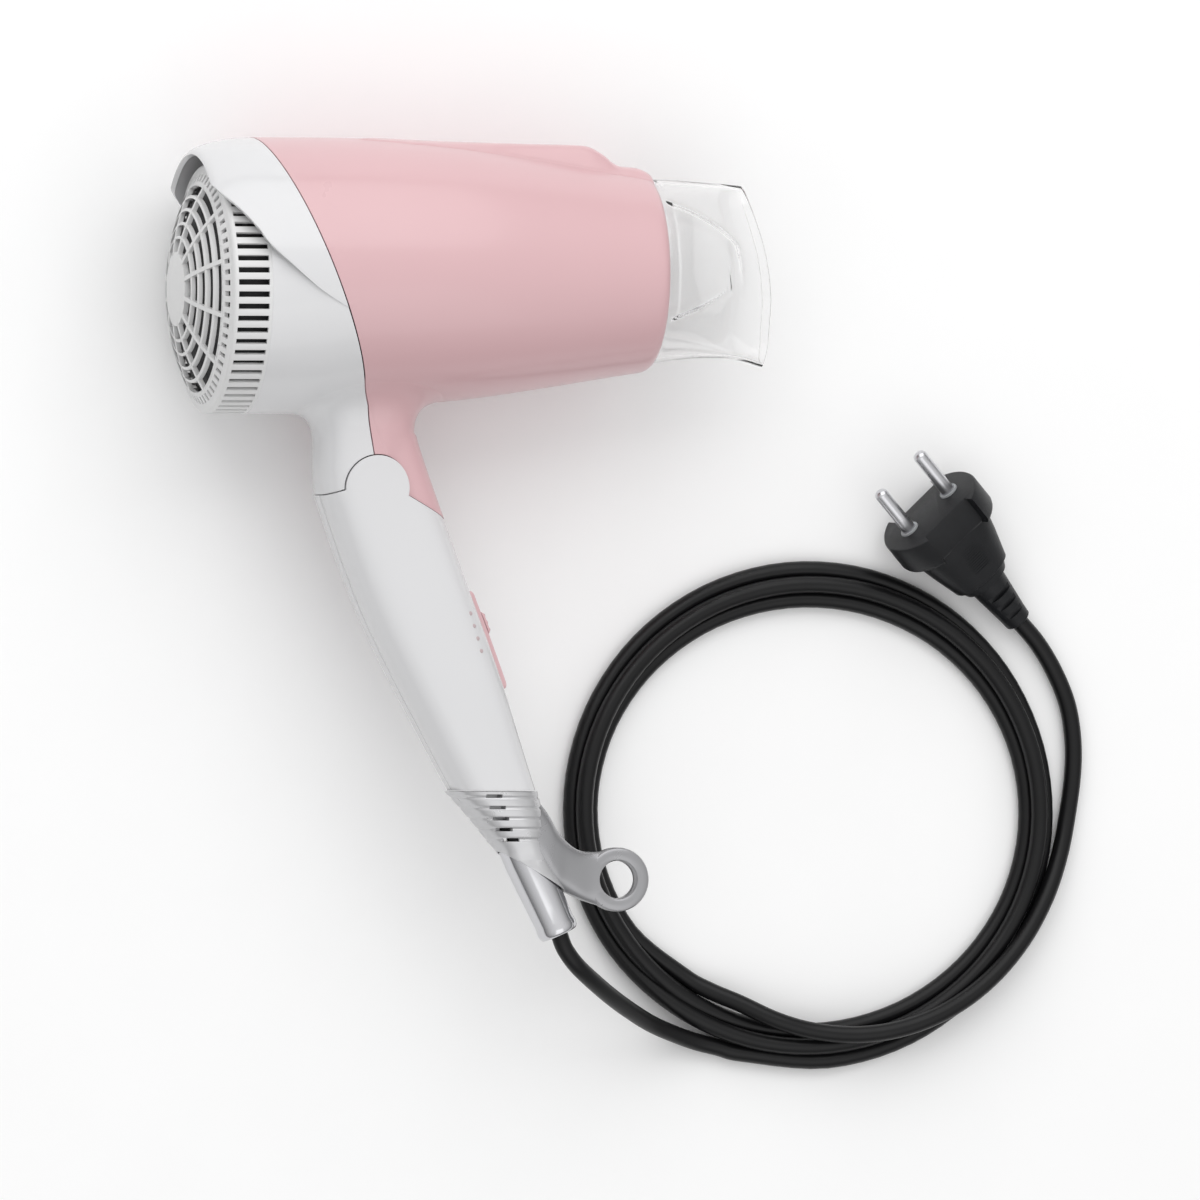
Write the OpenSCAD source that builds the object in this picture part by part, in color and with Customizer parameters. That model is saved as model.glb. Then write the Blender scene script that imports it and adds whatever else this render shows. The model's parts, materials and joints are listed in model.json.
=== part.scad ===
// Folding travel hair dryer lying on its side, with its mains lead coiled beside it.
// +X runs along the barrel towards the nozzle, +Y from the handle to the barrel, and +Z is up,
// square to the plane that the dryer's left and right sides mirror in.
// The origin is on the surface, below the middle of the dryer.
// Shapes of the dryer are drawn about its fold hinge, which is at `hinge` in the part's frame.

/* [Barrel] */
// Outer radius of the barrel at its rear
barrel_rear_r = 46; // [45.2:0.1:46.2]
// Outer radius of the barrel at its front rim
barrel_front_r = 33.2; // [32.6:0.1:34]
// Distance from the fold hinge to the barrel's axis
axis_y = 73; // [72:0.5:74]
// Wall thickness of the mouldings
wall = 1.8; // [1.5:0.1:2]

/* [Rear grille] */
// Radius of the rear grille
grille_r = 40; // [39:0.5:40]
// Number of long slots round the grille's side
side_slots = 64; // [48:4:72]
// Number of spokes in the grille's face
spokes = 12; // [8:2:16]

/* [Fan and heater] */
// Radius over the fan's blades
fan_r = 30.4; // [28:0.2:30.6]
// Number of fan blades
blades = 9; // [5:1:11]
// Inner radius of the mica tube round the heater
mica_r = 27.4; // [26.5:0.1:27.6]
// Number of turns of heating wire
heater_turns = 8; // [5:1:9]

/* [Nozzle] */
// Outer radius of the nozzle's round sleeve
sleeve_r = 30.9; // [30.6:0.1:31]
// Width of the nozzle's flat mouth
mouth_w = 61; // [56:1:61]
// Height of the nozzle's flat mouth
mouth_h = 13; // [11:1:14]

/* [Handle] */
// Half thickness of the handle at the hinge
handle_half = 17; // [16.6:0.1:17.2]
// Radius of the round ears at the hinge
ear_r = 11; // [10.5:0.1:11]
// Lean of the handle away from square to the barrel, in degrees
handle_lean = 22; // [21:0.5:22.5]

/* [Mains lead] */
// Diameter of the mains cord
cord_d = 6; // [5.8:0.1:6.2]
// Radius of the coil's outer turn, along the middle of the cord
coil_r = 84; // [83:0.5:84.5]
// Radius of the plug's pins
pin_r = 2.4; // [2:0.1:2.5]

/* [Hidden] */
$fn = 64;
soft_fn = 32;

hinge = [-37, 18, 46.4];
running = 0.06;

// Head
parting_lean = 21.8;
parting_x = 7;
shell_rear_x = -43.5;
barrel_front_x = 98.7;
grille_y = 66;
hood_r = barrel_rear_r + 0.4;
body_step = 0.3;
neck_half = handle_half - wall - 0.3;
ear_z = neck_half + 0.35;
fold_reach = 29.4;

// Handle, drawn along its own axis: s runs down the handle, q towards its front
handle_end_y = -103;
top_seam_rear = [-19.2, -3.4];
top_seam_ear_rear = [-11, -0.7];
top_seam_ear_front = [11, -2.7];
top_seam_front = [26, -11];

// Stations down the handle: [s, rear edge q, front edge q]
handle_stations = [
    [-14, -18.4, 18.0],
    [8, -19.8, 19.8],
    [34, -21.1, 20.4],
    [50, -20.3, 20.3],
    [66, -18.7, 20.1],
    [112, -11.2, 17.0],
    [126, -9.0, 16.2]
];
// How far the handle's rounded edge steps in at each depth: [edge inset, depth below the side]
handle_layers = [[7, 0], [2.2, 2.2], [0, 7.5]];
handle_taper = 4;

sleeve_lean = 25;
sleeve_end = [68, -151.9];
sleeve_l = 30;
ring_at = [88.1, -133.4];
ring_r = 10.9;
ring_hole_r = 6.4;

switch_s = 66;
switch_q = 20;
switch_travel = 13.5;

// Mains lead: route points in the part's own frame, as far as the coil and on from it
coil_centre = [131, -94];
lead_route = [
    [31, -134, 46.4], [33, -139, 46.2], [37.5, -144.5, 44.4], [44, -149.5, 39.6], [52.5, -155, 32],
    [62, -160.2, 23], [73.5, -165.6, 13.2], [88, -170.6, 5.4], [98.5, -173.2, 3.2],
    [109.3, -175.1, 3]
];
plug_end = [204.9, -27.2, 5.2];
tail_route = [
    [105.1, -158.2, 8], [117.4, -164, 10.5], [131, -167.8, 11], [147, -169, 11],
    [163.3, -166.4, 11], [179, -160, 10.6], [193, -150, 9.8], [205, -137, 8.6],
    [213.8, -122.5, 6.4], [219.7, -108, 3.8], [223, -94, 3], [224.9, -80, 3],
    [225, -68, 3], [223, -56, 3], [218.4, -45, 3.2], [212.2, -35.2, 4], plug_end
];
plug_azimuth = 133.6;
plug_tilt = 16;
plug_l = 54;
plug_r = 17.6;
pin_l = 19;
pin_spacing = 19;

// ---------- helpers ----------

// Moves what is drawn about the fold hinge into the part's frame
module placed() {
    translate(hinge) children();
}

// Stands a shape drawn along Z on the line y = axis, along X
module along_x(axis = axis_y) {
    translate([0, axis, 0]) rotate([0, 90, 0]) children();
}

module tube(outer, inner, x0, x1, axis = axis_y) {
    translate([x0, 0, 0]) along_x(axis) difference() {
        cylinder(r = outer, h = x1 - x0, $fn = 96);
        translate([0, 0, -1]) cylinder(r = inner, h = x1 - x0 + 2, $fn = 96);
    }
}

// A round rod between two points
module rod(a, b, r) {
    d = b - a;
    l = norm(d);
    translate(a) rotate([0, acos(d[2] / l), atan2(d[1], d[0])]) cylinder(r = r, h = l, $fn = 24);
}

// A closed skin over rings of equal length, with flat ends
module skin(rings) {
    n = len(rings[0]);
    m = len(rings);
    sides = [
        for (i = [0 : m - 2], j = [0 : n - 1], half = [0, 1])
            half == 0
                ? [i * n + j, (i + 1) * n + j, i * n + (j + 1) % n]
                : [i * n + (j + 1) % n, (i + 1) * n + j, (i + 1) * n + (j + 1) % n]
    ];
    first = [for (j = [0 : n - 1]) j];
    last = [for (j = [0 : n - 1]) m * n - 1 - j];
    polyhedron(points = [for (r = rings, p = r) p], faces = concat(sides, [first, last]));
}

function unit(v) = v / norm(v);

// Sweeps a round section along a route; each ring is square to the route there
function route_direction(p, i) =
    i == 0 ? unit(p[1] - p[0])
    : i == len(p) - 1 ? unit(p[i] - p[i - 1])
    : unit(unit(p[i] - p[i - 1]) + unit(p[i + 1] - p[i]));
function ring_round(c, d, r, n) =
    let (side = unit(cross(d, [0, 0, 1])), up = cross(side, d))
    [for (j = [0 : n - 1]) c + r * (cos(-360 * j / n) * side + sin(-360 * j / n) * up)];
function smooth_at(p, i, t) =
    let (
        a = p[max(i - 1, 0)],
        b = p[i],
        c = p[i + 1],
        d = p[min(i + 2, len(p) - 1)]
    )
    0.5 * ((2 * b) + (c - a) * t + (2 * a - 5 * b + 4 * c - d) * t * t
        + (3 * b - a - 3 * c + d) * t * t * t);
function smooth_route(p, n) = concat(
    [for (i = [0 : len(p) - 2], k = [0 : n - 1]) smooth_at(p, i, k / n)],
    [p[len(p) - 1]]
);
module wire(route, r) {
    skin([for (i = [0 : len(route) - 1]) ring_round(route[i], route_direction(route, i), r, 8)]);
}
module cord_tube(route, d, n = 10) {
    fine = smooth_route(route, 2);
    skin([for (i = [0 : len(fine) - 1]) ring_round(fine[i], route_direction(fine, i), d / 2, n)]);
}

// ---------- head ----------

// Half section of the barrel's outside, as [radius, distance along the barrel]
function barrel_line(inset) = [
    [barrel_rear_r - inset, -46],
    [barrel_rear_r - inset, -14],
    [barrel_rear_r - 0.7 - inset, 8],
    [barrel_rear_r - 3 - inset, 35],
    [barrel_rear_r - 6.8 - inset, 62.7],
    [barrel_front_r + 1.8 - inset, 88.8],
    [barrel_front_r - inset, barrel_front_x]
];

module barrel_solid(inset, run_out = 0) {
    line = barrel_line(inset);
    end = line[len(line) - 1];
    start = line[0];
    along_x() rotate_extrude($fn = 96) polygon(concat(
        [[0, start[1] - run_out], [start[0], start[1] - run_out]],
        line,
        [[end[0], end[1] + run_out], [0, end[1] + run_out]]
    ));
}

// Everything in front of the slanted plane where the rear and barrel shells meet
module front_side(shift = 0) {
    translate([parting_x + shift, 0, 0]) rotate([0, 0, parting_lean])
        translate([0, -60, -80]) cube([200, 260, 160]);
}

// The flat-topped spine along the top of the barrel, ending in a step behind the rim
module spine() {
    intersection() {
        along_x() rotate_extrude($fn = 96) polygon([
            [0, -60], [45.6, -60], [45.4, -30], [43.6, 79], [39.4, 84.5], [37.9, 89], [33.4, 98],
            [0, 98]
        ]);
        translate([-60, axis_y, -10.5]) cube([200, 60, 21]);
    }
}

// Side view of the neck between the barrel and the hinge
module neck_side(inset) {
    polygon([
        [-21 + inset, 38], [-19.3 + inset, 14], [-19.1 + inset, -11], [26.4 - inset, -11],
        [16.2 - inset, 18], [18 - inset, 38]
    ]);
}

// The neck, with rounded edges
module neck_block() {
    half = handle_half - 0.3;
    hull() {
        translate([0, 0, -half]) linear_extrude(2 * half) neck_side(6);
        translate([0, 0, 2.4 - half]) linear_extrude(2 * half - 4.8) neck_side(1.8);
        translate([0, 0, 7 - half]) linear_extrude(2 * half - 14) neck_side(0);
    }
}

// The neck down to the seam with the handle, cut back where the handle's sides pass as it folds,
// with the round tongue that sits between the handle's ears
module neck() {
    difference() {
        neck_block();
        translate([0, 0, -30]) linear_extrude(60) polygon([
            [-40, -3], [-19, -3], [-11, -0.3], [11, -2.2], [27.5, -13], [27.5, -30], [-40, -30]
        ]);
        for (m = [0, 1]) mirror([0, 0, m])
            translate([0, 0, neck_half]) linear_extrude(10) {
                circle(r = ear_r + 0.5);
                polygon([[0, 0], [24, 38.4], [60, 38.4], [60, -30], [0, -30]]);
            }
    }
    translate([0, 0, 0.05 - neck_half])
        cylinder(r = 13.5, h = 2 * neck_half - 0.1, $fn = 96);
}

module neck_inside() {
    half = neck_half - 2;
    translate([0, 0, -half]) linear_extrude(2 * half) {
        circle(r = 11.4);
        polygon([
            [-12, 0], [-16, 4], [-16, 17], [-11, 24], [-11, 42], [9, 42], [9, 30], [12.6, 20],
            [13, 12], [20, -4], [10, -4]
        ]);
        translate([-9, -20]) square([17, 20]);
    }
}

// Where the bushes pass through the neck's side walls
module hinge_bore(r) {
    translate([0, 0, -30]) cylinder(r = r, h = 60, $fn = 64);
}

// Lower rear body of the head: from the grille's circle to the barrel's circle
module rear_body(inset, run_out = 0) {
    hull() {
        translate([shell_rear_x - run_out, 0, 0]) along_x(grille_y)
            cylinder(r = grille_r - inset, h = 0.5, $fn = 64);
        translate([-16, 0, 0]) along_x()
            cylinder(r = barrel_rear_r - body_step - inset, h = 0.5, $fn = 64);
    }
}

// Visor that overhangs the top of the grille
module hood() {
    difference() {
        intersection() {
            along_x() rotate_extrude($fn = 96) polygon([
                [hood_r - 7.5, -63], [hood_r - 4.2, -62.6], [hood_r - 1.8, -56], [hood_r, -44],
                [hood_r, -8], [hood_r - 1.6, -8], [hood_r - 1.6, -44], [hood_r - 3.4, -56],
                [hood_r - 5.8, -61.4]
            ]);
            translate([0, 0, -60]) linear_extrude(120) polygon([
                [-70, 125], [-63.5, 110], [-59.6, 104], [-55.3, 96.4], [-49.6, 88], [-45.4, 83],
                [-38.2, 76.5], [-28.6, 68.6], [-22.2, 65], [-6, 60], [0, 125]
            ]);
        }
        front_side(-0.1);
    }
}

module rear_shell() color("white") {
    difference() {
        union() {
            difference() {
                union() {
                    rear_body(0);
                    intersection() {
                        barrel_solid(0);
                        translate([-16.2, -20, -60]) cube([60, 160, 120]);
                    }
                    neck();
                }
                rear_body(wall, 1);
                intersection() {
                    barrel_solid(wall);
                    translate([-18, 20, -60]) cube([60, 110, 120]);
                }
            }
            hood();
            head_boss(2.8, -27, -20);
        }
        front_side(-0.1);
        neck_inside();
        hinge_bore(5);
        head_boss(1.3, -30, -10);
    }
}

module barrel_shell() color("pink") {
    difference() {
        intersection() {
            union() {
                difference() {
                    union() {
                        barrel_solid(0);
                        spine();
                        neck();
                    }
                    barrel_solid(wall, 3);
                }
                head_boss(2.8, -24, -13);
                // Webs that tie the bosses to the wall
                for (side = [0, 1]) mirror([0, 0, side])
                    translate([-24, axis_y - 1, boss_z]) cube([11, 2, 4.4]);
            }
            front_side(0.1);
        }
        neck_inside();
        hinge_bore(5);
        head_boss(1.1, -30, -14);
    }
}

// Domed face of the grille: a part of a sphere
grille_dome_r = 80;
grille_rim_x = -57;
grille_dome_centre = grille_rim_x + sqrt(pow(grille_dome_r, 2) - pow(grille_r - 2, 2));
function dome_x(r, inset) = grille_dome_centre - sqrt(pow(grille_dome_r - inset, 2) - r * r);

module dome_band(inner, outer, top, bottom, steps) {
    radii = [for (k = [0 : steps]) inner + (outer - inner) * k / steps];
    along_x(grille_y) rotate_extrude($fn = 96) polygon(concat(
        [for (r = radii) [r, dome_x(r, top)]],
        [for (k = [steps : -1 : 0]) [radii[k], dome_x(radii[k], bottom)]]
    ));
}

module rear_grille() color("white") {
    // Side wall with its long slots, and the rounded rim that turns in to the face
    difference() {
        along_x(grille_y) rotate_extrude($fn = 96) polygon([
            [grille_r - 1.6, shell_rear_x - 0.1], [grille_r, shell_rear_x - 0.1],
            [grille_r, grille_rim_x + 1.4], [grille_r - 0.6, grille_rim_x],
            [grille_r - 2, grille_rim_x - 0.4], [grille_r - 5.4, grille_rim_x - 2.1],
            [grille_r - 5.4, grille_rim_x], [grille_r - 2.2, grille_rim_x + 1.2]
        ]);
        for (k = [0 : side_slots - 1])
            translate([-55.5, grille_y, 0]) rotate([360 * k / side_slots, 0, 0])
                translate([0, grille_r - 4, -0.85]) cube([11, 6, 1.7]);
    }
    // Hub, rings and spokes of the face
    dome_band(0, 7.5, 0.1, 1.8, 2);
    for (r = [14, 20.5, 27])
        dome_band(r - 0.8, r + 0.8, 0.1, 1.5, 1);
    intersection() {
        dome_band(5, grille_r - 4.8, 0, 1.6, 4);
        for (k = [0 : spokes / 2 - 1])
            translate([-60, grille_y, 0]) rotate([180 * k / (spokes / 2), 0, 0])
                cube([40, 2 * grille_r, 1.8], center = true);
    }
}

module lint_filter() color("lightgray") {
    tube(grille_r - 2, grille_r - 5, -43.2, -41.8, grille_y);
    intersection() {
        tube(grille_r - 4.6, 0.01, -43, -42.4, grille_y);
        union() {
            for (k = [-4 : 4]) {
                translate([-43, grille_y + 8 * k - 0.6, -40]) cube([1, 1.2, 80]);
                translate([-43, 20, 8 * k - 0.6]) cube([1, 90, 1.2]);
            }
        }
    }
}

// ---------- fan, motor and heater ----------

duct_r = 31.6;
motor_r = 15.4;

module fan_duct() color("dimgray") {
    tube(duct_r + 1.5, duct_r, -36, 14);
    tube(motor_r + 1.8, motor_r + 0.3, -17, 12);
    difference() {
        tube(motor_r + 1.8, 4, -18.4, -16.9);
        tube(3, 0.01, -30, 0);
    }
    for (k = [0 : 6])
        translate([-14, axis_y, 0]) rotate([360 * k / 7 + 12, 0, 0])
            translate([0, motor_r + 1.2, -0.7]) cube([24, duct_r - motor_r - 0.6, 1.4]);
    // Flange that locates the duct in the shell
    tube(37, duct_r + 1, -8, -6.4);
}

module motor_can() color("silver") {
    difference() {
        tube(motor_r, motor_r - 1, -16.6, 9);
        tube(2, 0.01, -20, -14);
    }
    tube(motor_r - 0.5, 2.4, -16.6, -15.4);
    tube(motor_r - 1.6, motor_r - 4, -12, 6);
    for (k = [0, 1])
        translate([-12, axis_y, 0]) rotate([180 * k + 90, 0, 0])
            translate([0, motor_r - 2, -3]) cube([18, 1.4, 6]);
}

module motor_end_cap() color("ivory") {
    tube(motor_r, 2, 9.1, 10.8);
    tube(4, 1.3, 10.7, 13.2);
}

module brush_holders() color("goldenrod") {
    for (k = [0, 1])
        translate([11, axis_y, 0]) rotate([180 * k, 0, 0])
            translate([0, 6, -2]) cube([3.4, 7, 4]);
}

module fan_rotor() color("gray") {
    difference() {
        tube(10, motor_shaft_r, -34, -20.6);
        tube(8.4, 4, -28, -20);
    }
    for (k = [0 : blades - 1])
        translate([-27, axis_y, 0]) rotate([360 * k / blades, 0, 0])
            translate([0, 9.6, 0]) rotate([0, 38, 0])
                translate([-6.5, 0, -0.6]) cube([13, fan_r - 11, 1.2]);
}

motor_shaft_r = 1.2;
module motor_shaft() color("silver") {
    translate([-34.6, 0, 0]) along_x() cylinder(r = motor_shaft_r, h = 47.2, $fn = 32);
    difference() {
        tube(motor_r - 4.8, motor_shaft_r - 0.05, -10.6, 4.6);
        for (k = [0 : 4])
            translate([-11, axis_y, 0]) rotate([36 * k + 18, 0, 0])
                translate([0, -12, -0.8]) cube([16, 5, 1.6]);
    }
    tube(3.4, motor_shaft_r - 0.05, 6, 8.4);
}

heater_x0 = 20;
heater_x1 = 80;
coil_wire_r = 1.3;
board_half = 19;

module mica_tube() color("tan") {
    tube(mica_r + 0.6, mica_r, 18.6, 82);
}

module heater_boards() color("burlywood") {
    for (k = [0, 1])
        translate([heater_x0, axis_y, 0]) rotate([90 * k, 0, 0])
            translate([0, -board_half, -0.4]) cube([heater_x1 - heater_x0, 2 * board_half, 0.8]);
    // Wings that reach the tube at both ends
    for (x = [heater_x0, heater_x1 - 3], k = [0, 1])
        translate([x, axis_y, 0]) rotate([90 * k, 0, 0])
            translate([0, 0.1 - mica_r, -0.4]) cube([3, 2 * mica_r - 0.2, 0.8]);
}

module heating_coils() color("slategray") {
    for (k = [0 : heater_turns - 1])
        translate([heater_x0 + 7 + k * 45 / (heater_turns - 1), 0, 0]) along_x()
            rotate_extrude($fn = 96) translate([board_half + coil_wire_r + 0.05, 0])
                circle(r = coil_wire_r, $fn = 16);
}

module thermostat() color("silver") {
    translate([70, axis_y + 4, 4]) cube([7, 8, 3]);
    translate([66, axis_y + 7.5, 2.6]) cube([12, 1, 1.2]);
}

module thermal_fuse() color("gold") {
    rod([26, axis_y - 7, 5], [40, axis_y - 7, 5], 1.8);
    rod([21, axis_y - 7, 5], [45, axis_y - 7, 5], 0.5);
}

module outlet_grille() color("dimgray") {
    tube(barrel_front_r + 1.8 - wall - 0.5, barrel_front_r - 3.4, 83, 87.5);
    for (r = [8, 15, 22])
        tube(r + 0.8, r - 0.8, 84, 87);
    for (k = [0 : 3])
        translate([85.5, axis_y, 0]) rotate([45 * k, 0, 0])
            cube([3, 2 * (barrel_front_r - 3), 1.4], center = true);
    tube(4, 0.01, 84, 87);
}

// Leads from the hinge, below the duct and up to the heater
module head_wires() color("firebrick") {
    for (z = [-5, 5])
        wire([
            [0, 8, z], [0, 32, z], [3, 36.6, z], [12, 36.8, z], [16.2, 40, z], [16.2, 51, z],
            [18.8, 53.6, z]
        ], 1);
}

// Two screws from inside hold the rear and barrel shells together
boss_z = 40.4;
module head_boss(r, x0, x1) {
    for (side = [-1, 1]) translate([x0, axis_y, side * boss_z]) rotate([0, 90, 0])
        cylinder(r = r, h = x1 - x0, $fn = 32);
}

module head_screws() color("silver") {
    head_boss(1.1, -27.6, -14);
    head_boss(2.3, -28.9, -27.5);
}

// ---------- hinge ----------

bush_r = 4.9;
module hinge_bushes() color("silver") {
    for (m = [0, 1]) mirror([0, 0, m]) difference() {
        union() {
            translate([0, 0, neck_half - 3]) cylinder(r = 6.4, h = 1, $fn = 64);
            translate([0, 0, neck_half - 3]) cylinder(r = bush_r, h = 4.4, $fn = 64);
        }
        translate([0, 0, neck_half - 4]) cylinder(r = 2.6, h = 8, $fn = 48);
    }
}

module hinge_washers() color("goldenrod") {
    for (m = [0, 1]) mirror([0, 0, m]) difference() {
        translate([0, 0, neck_half + 0.1]) cylinder(r = 8.6, h = 0.15, $fn = 64);
        translate([0, 0, neck_half]) cylinder(r = bush_r + 0.3, h = 1, $fn = 64);
    }
}

// ---------- nozzle ----------

groove_r = sleeve_r - 0.9;
bore_r = barrel_front_r - wall;
module nozzle_ring() color("whitesmoke") {
    tube(bore_r - 0.12, groove_r + 0.05, 91.1, 93.3);
}

module nozzle() color([0.9, 0.93, 0.95, 0.5]) {
    difference() {
        tube(sleeve_r, sleeve_r - 2, 88.4, 106);
        tube(sleeve_r + 2, groove_r, 91, 93.4);
    }
    difference() {
        hull() nozzle_form(0);
        hull() nozzle_form(1.6);
    }
}

// The nozzle's round foot and its flat mouth, whose edge is bowed
module nozzle_form(inset) {
    run_out = inset > 0 ? 2 : 0;
    across = mouth_w / 2 - inset;
    translate([105.9 - run_out, 0, 0]) along_x()
        cylinder(r = sleeve_r - inset, h = 2 + run_out, $fn = soft_fn * 2);
    translate([run_out, 0, inset - mouth_h / 2]) linear_extrude(mouth_h - 2 * inset) polygon([
        [130, axis_y + across], [133, axis_y + across], [137.5, axis_y + 18], [141, axis_y],
        [142.4, axis_y - 14], [141.8, axis_y - 24], [140.4, axis_y - across],
        [130, axis_y - across]
    ]);
}

// ---------- handle ----------

// A place on the handle, in the dryer's own plane
function handle_point(s, q, z) = [
    s * sin(handle_lean) + q * cos(handle_lean),
    -s * cos(handle_lean) + q * sin(handle_lean),
    z
];

// Side view of part of the handle, between two of its stations
function handle_outline(first, last, inset) = concat(
    [for (i = [first : last])
        let (t = handle_stations[i], p = handle_point(t[0], t[1] + inset, 0)) [p[0], p[1]]],
    [for (i = [last : -1 : first])
        let (t = handle_stations[i], p = handle_point(t[0], t[2] - inset, 0)) [p[0], p[1]]]
);

// The handle with rounded edges, thinner towards its lower end
module handle_solid(inset) {
    hull() for (layer = handle_layers) {
        upper = handle_half - inset - layer[1];
        lower = handle_half - handle_taper - inset - layer[1];
        translate([0, 0, -upper]) linear_extrude(2 * upper)
            polygon(handle_outline(0, 4, inset + layer[0]));
        translate([0, 0, -lower]) linear_extrude(2 * lower)
            polygon(handle_outline(len(handle_stations) - 2, len(handle_stations) - 1,
                inset + layer[0]));
    }
}

// Side view of the space above the handle's top seam, less its round ears
module above_seam() {
    difference() {
        polygon([
            [-60, 60], [-60, -3.4], top_seam_rear, top_seam_ear_rear, top_seam_ear_front,
            top_seam_front, [60, -11], [60, 60]
        ]);
        circle(r = ear_r);
    }
}

module handle_shell_whole() {
    difference() {
        union() {
            difference() {
                handle_solid(0);
                handle_solid(wall);
            }
            // Ears: plain discs with a blind bore for the bushes
            for (m = [0, 1]) mirror([0, 0, m])
                translate([0, 0, ear_z]) cylinder(r = ear_r, h = handle_half + 0.15 - ear_z, $fn = 96);
            // Screw bosses, and the floor that the collar is fixed to
            intersection() {
                handle_solid(0.6);
                union() {
                    screw_bosses(2.8, -20, 20);
                    translate([0, handle_end_y - 2, -40]) cube([90, 4, 80]);
                }
            }
        }
        translate([0, 0, -40]) linear_extrude(80) above_seam();
        translate([0, 0, -40]) linear_extrude(80) translate([0, handle_end_y - 60])
            square([90, 60]);
        // Room for the neck's tongue, and for its front wedge as it folds in
        translate([0, 0, -ear_z]) cylinder(r = 13.8, h = 2 * ear_z, $fn = 96);
        intersection() {
            translate([0, 0, -ear_z]) cylinder(r = fold_reach, h = 2 * ear_z, $fn = 96);
            translate([0, 0, -40]) linear_extrude(80)
                polygon([[0, 0], [60, 20], [60, -60], [-8, -60]]);
        }
        translate([0, 0, -(neck_half + 1.6)])
            cylinder(r = bush_r + running, h = 2 * (neck_half + 1.6), $fn = 64);
        switch_slot();
        screw_bosses(1.2, -20, 10);
        loop_mouth();
    }
}

// Slot in the handle's front for the slide switch's stem
module switch_slot() {
    on_front(switch_s) translate([-10.2, -6, -2.6]) cube([18, 12, 5.2]);
}

// Hole in the handle's lower end, where the collar's spigot sits
module loop_mouth() {
    on_axis(116, 4) translate([0, 0, -16]) cylinder(r = 8.2, h = 32, $fn = 64);
}

// Puts a shape whose X runs down the handle and Y out of its front at a place on the front
module on_front(s) {
    p = handle_point(s, switch_q, 0);
    translate(p) rotate([0, 0, handle_lean - 90]) children();
}

// Puts a shape drawn along Z on the handle's axis, Z pointing down the handle
module on_axis(s, q) {
    translate(handle_point(s, q, 0)) rotate([0, 0, handle_lean]) rotate([90, 0, 0]) children();
}

boss_places = [[44, -15], [92, 0]];
module screw_bosses(r, z0, z1) {
    for (b = boss_places)
        translate(handle_point(b[0], b[1], z0)) cylinder(r = r, h = z1 - z0, $fn = 32);
}

module handle_shell_left() color("white") {
    intersection() {
        handle_shell_whole();
        translate([-60, -170, 0.05]) cube([200, 230, 40]);
    }
}

module handle_shell_right() color("white") {
    difference() {
        intersection() {
            handle_shell_whole();
            translate([-60, -170, -40.05]) cube([200, 230, 40]);
        }
        screw_bosses(2.4, -20, -13);
    }
}

module handle_screws() color("silver") {
    for (b = boss_places)
        translate(handle_point(b[0], b[1], 0)) {
            translate([0, 0, -14.4]) cylinder(r = 2.2, h = 1.5, $fn = 32);
            translate([0, 0, -13]) cylinder(r = 1.1, h = 21, $fn = 24);
        }
}

// Pink plate that frames the slide button on the handle's front
module switch_plate() color("pink") {
    on_front(switch_s) difference() {
        translate([0, 0, -4.4]) linear_extrude(8.8) polygon([
            [-17, 0.36], [0, 0.16], [17, -0.98], [17, 0.3], [11, 1.55], [-14, 1.55], [-17, 1.1]
        ]);
        translate([-10.2, -1, -2.6]) cube([18, 4, 5.2]);
    }
}

module slide_button() color("pink") {
    on_front(switch_s) translate([-12, 1.6, -4]) {
        difference() {
            cube([8, 1.2, 8]);
            for (k = [0 : 2]) translate([1.6 + 2 * k, 0.8, -1]) cube([0.8, 2, 10]);
        }
        translate([2.4, -5.9, 2]) cube([3, 6, 4]);
    }
}

module switch_actuator() color("black") {
    on_front(switch_s) difference() {
        translate([-11.2, -5.4, -3.4]) cube([6.2, 2.9, 6.8]);
        translate([-9.65, -4.35, -2.05]) cube([3.1, 4, 4.1]);
    }
}

module switch_body() color("dimgray") {
    on_front(switch_s) {
        translate([-16, -17.5, -6.5]) cube([32, 12, 13]);
        for (k = [0 : 3]) translate([-12 + 7 * k, -21.5, -0.4]) cube([3, 4.1, 0.8]);
    }
}

module rectifier_board() color("seagreen") {
    on_front(switch_s + 26) {
        translate([-9, -15, -8]) cube([18, 1.4, 16]);
        for (k = [0 : 3]) translate([-7 + 4 * k, -13.5, -4]) cube([2.4, 2.4, 8]);
    }
}

// Plain raised dots beside the switch, one for each of its positions
module position_marks() color("silver") {
    for (k = [0 : 3])
        translate(handle_point(switch_s - 8 + switch_travel / 3 * k, 9, handle_half - 2))
            cylinder(r = 0.7, h = 2.2, $fn = 24);
}

module handle_wires() color("steelblue") {
    for (z = [-4, 4])
        wire([
            handle_point(32, -6, z), handle_point(80, -11, z), handle_point(104, 0, z)
        ], 1);
}

// ---------- collar, hang loop and cord sleeve ----------

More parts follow.
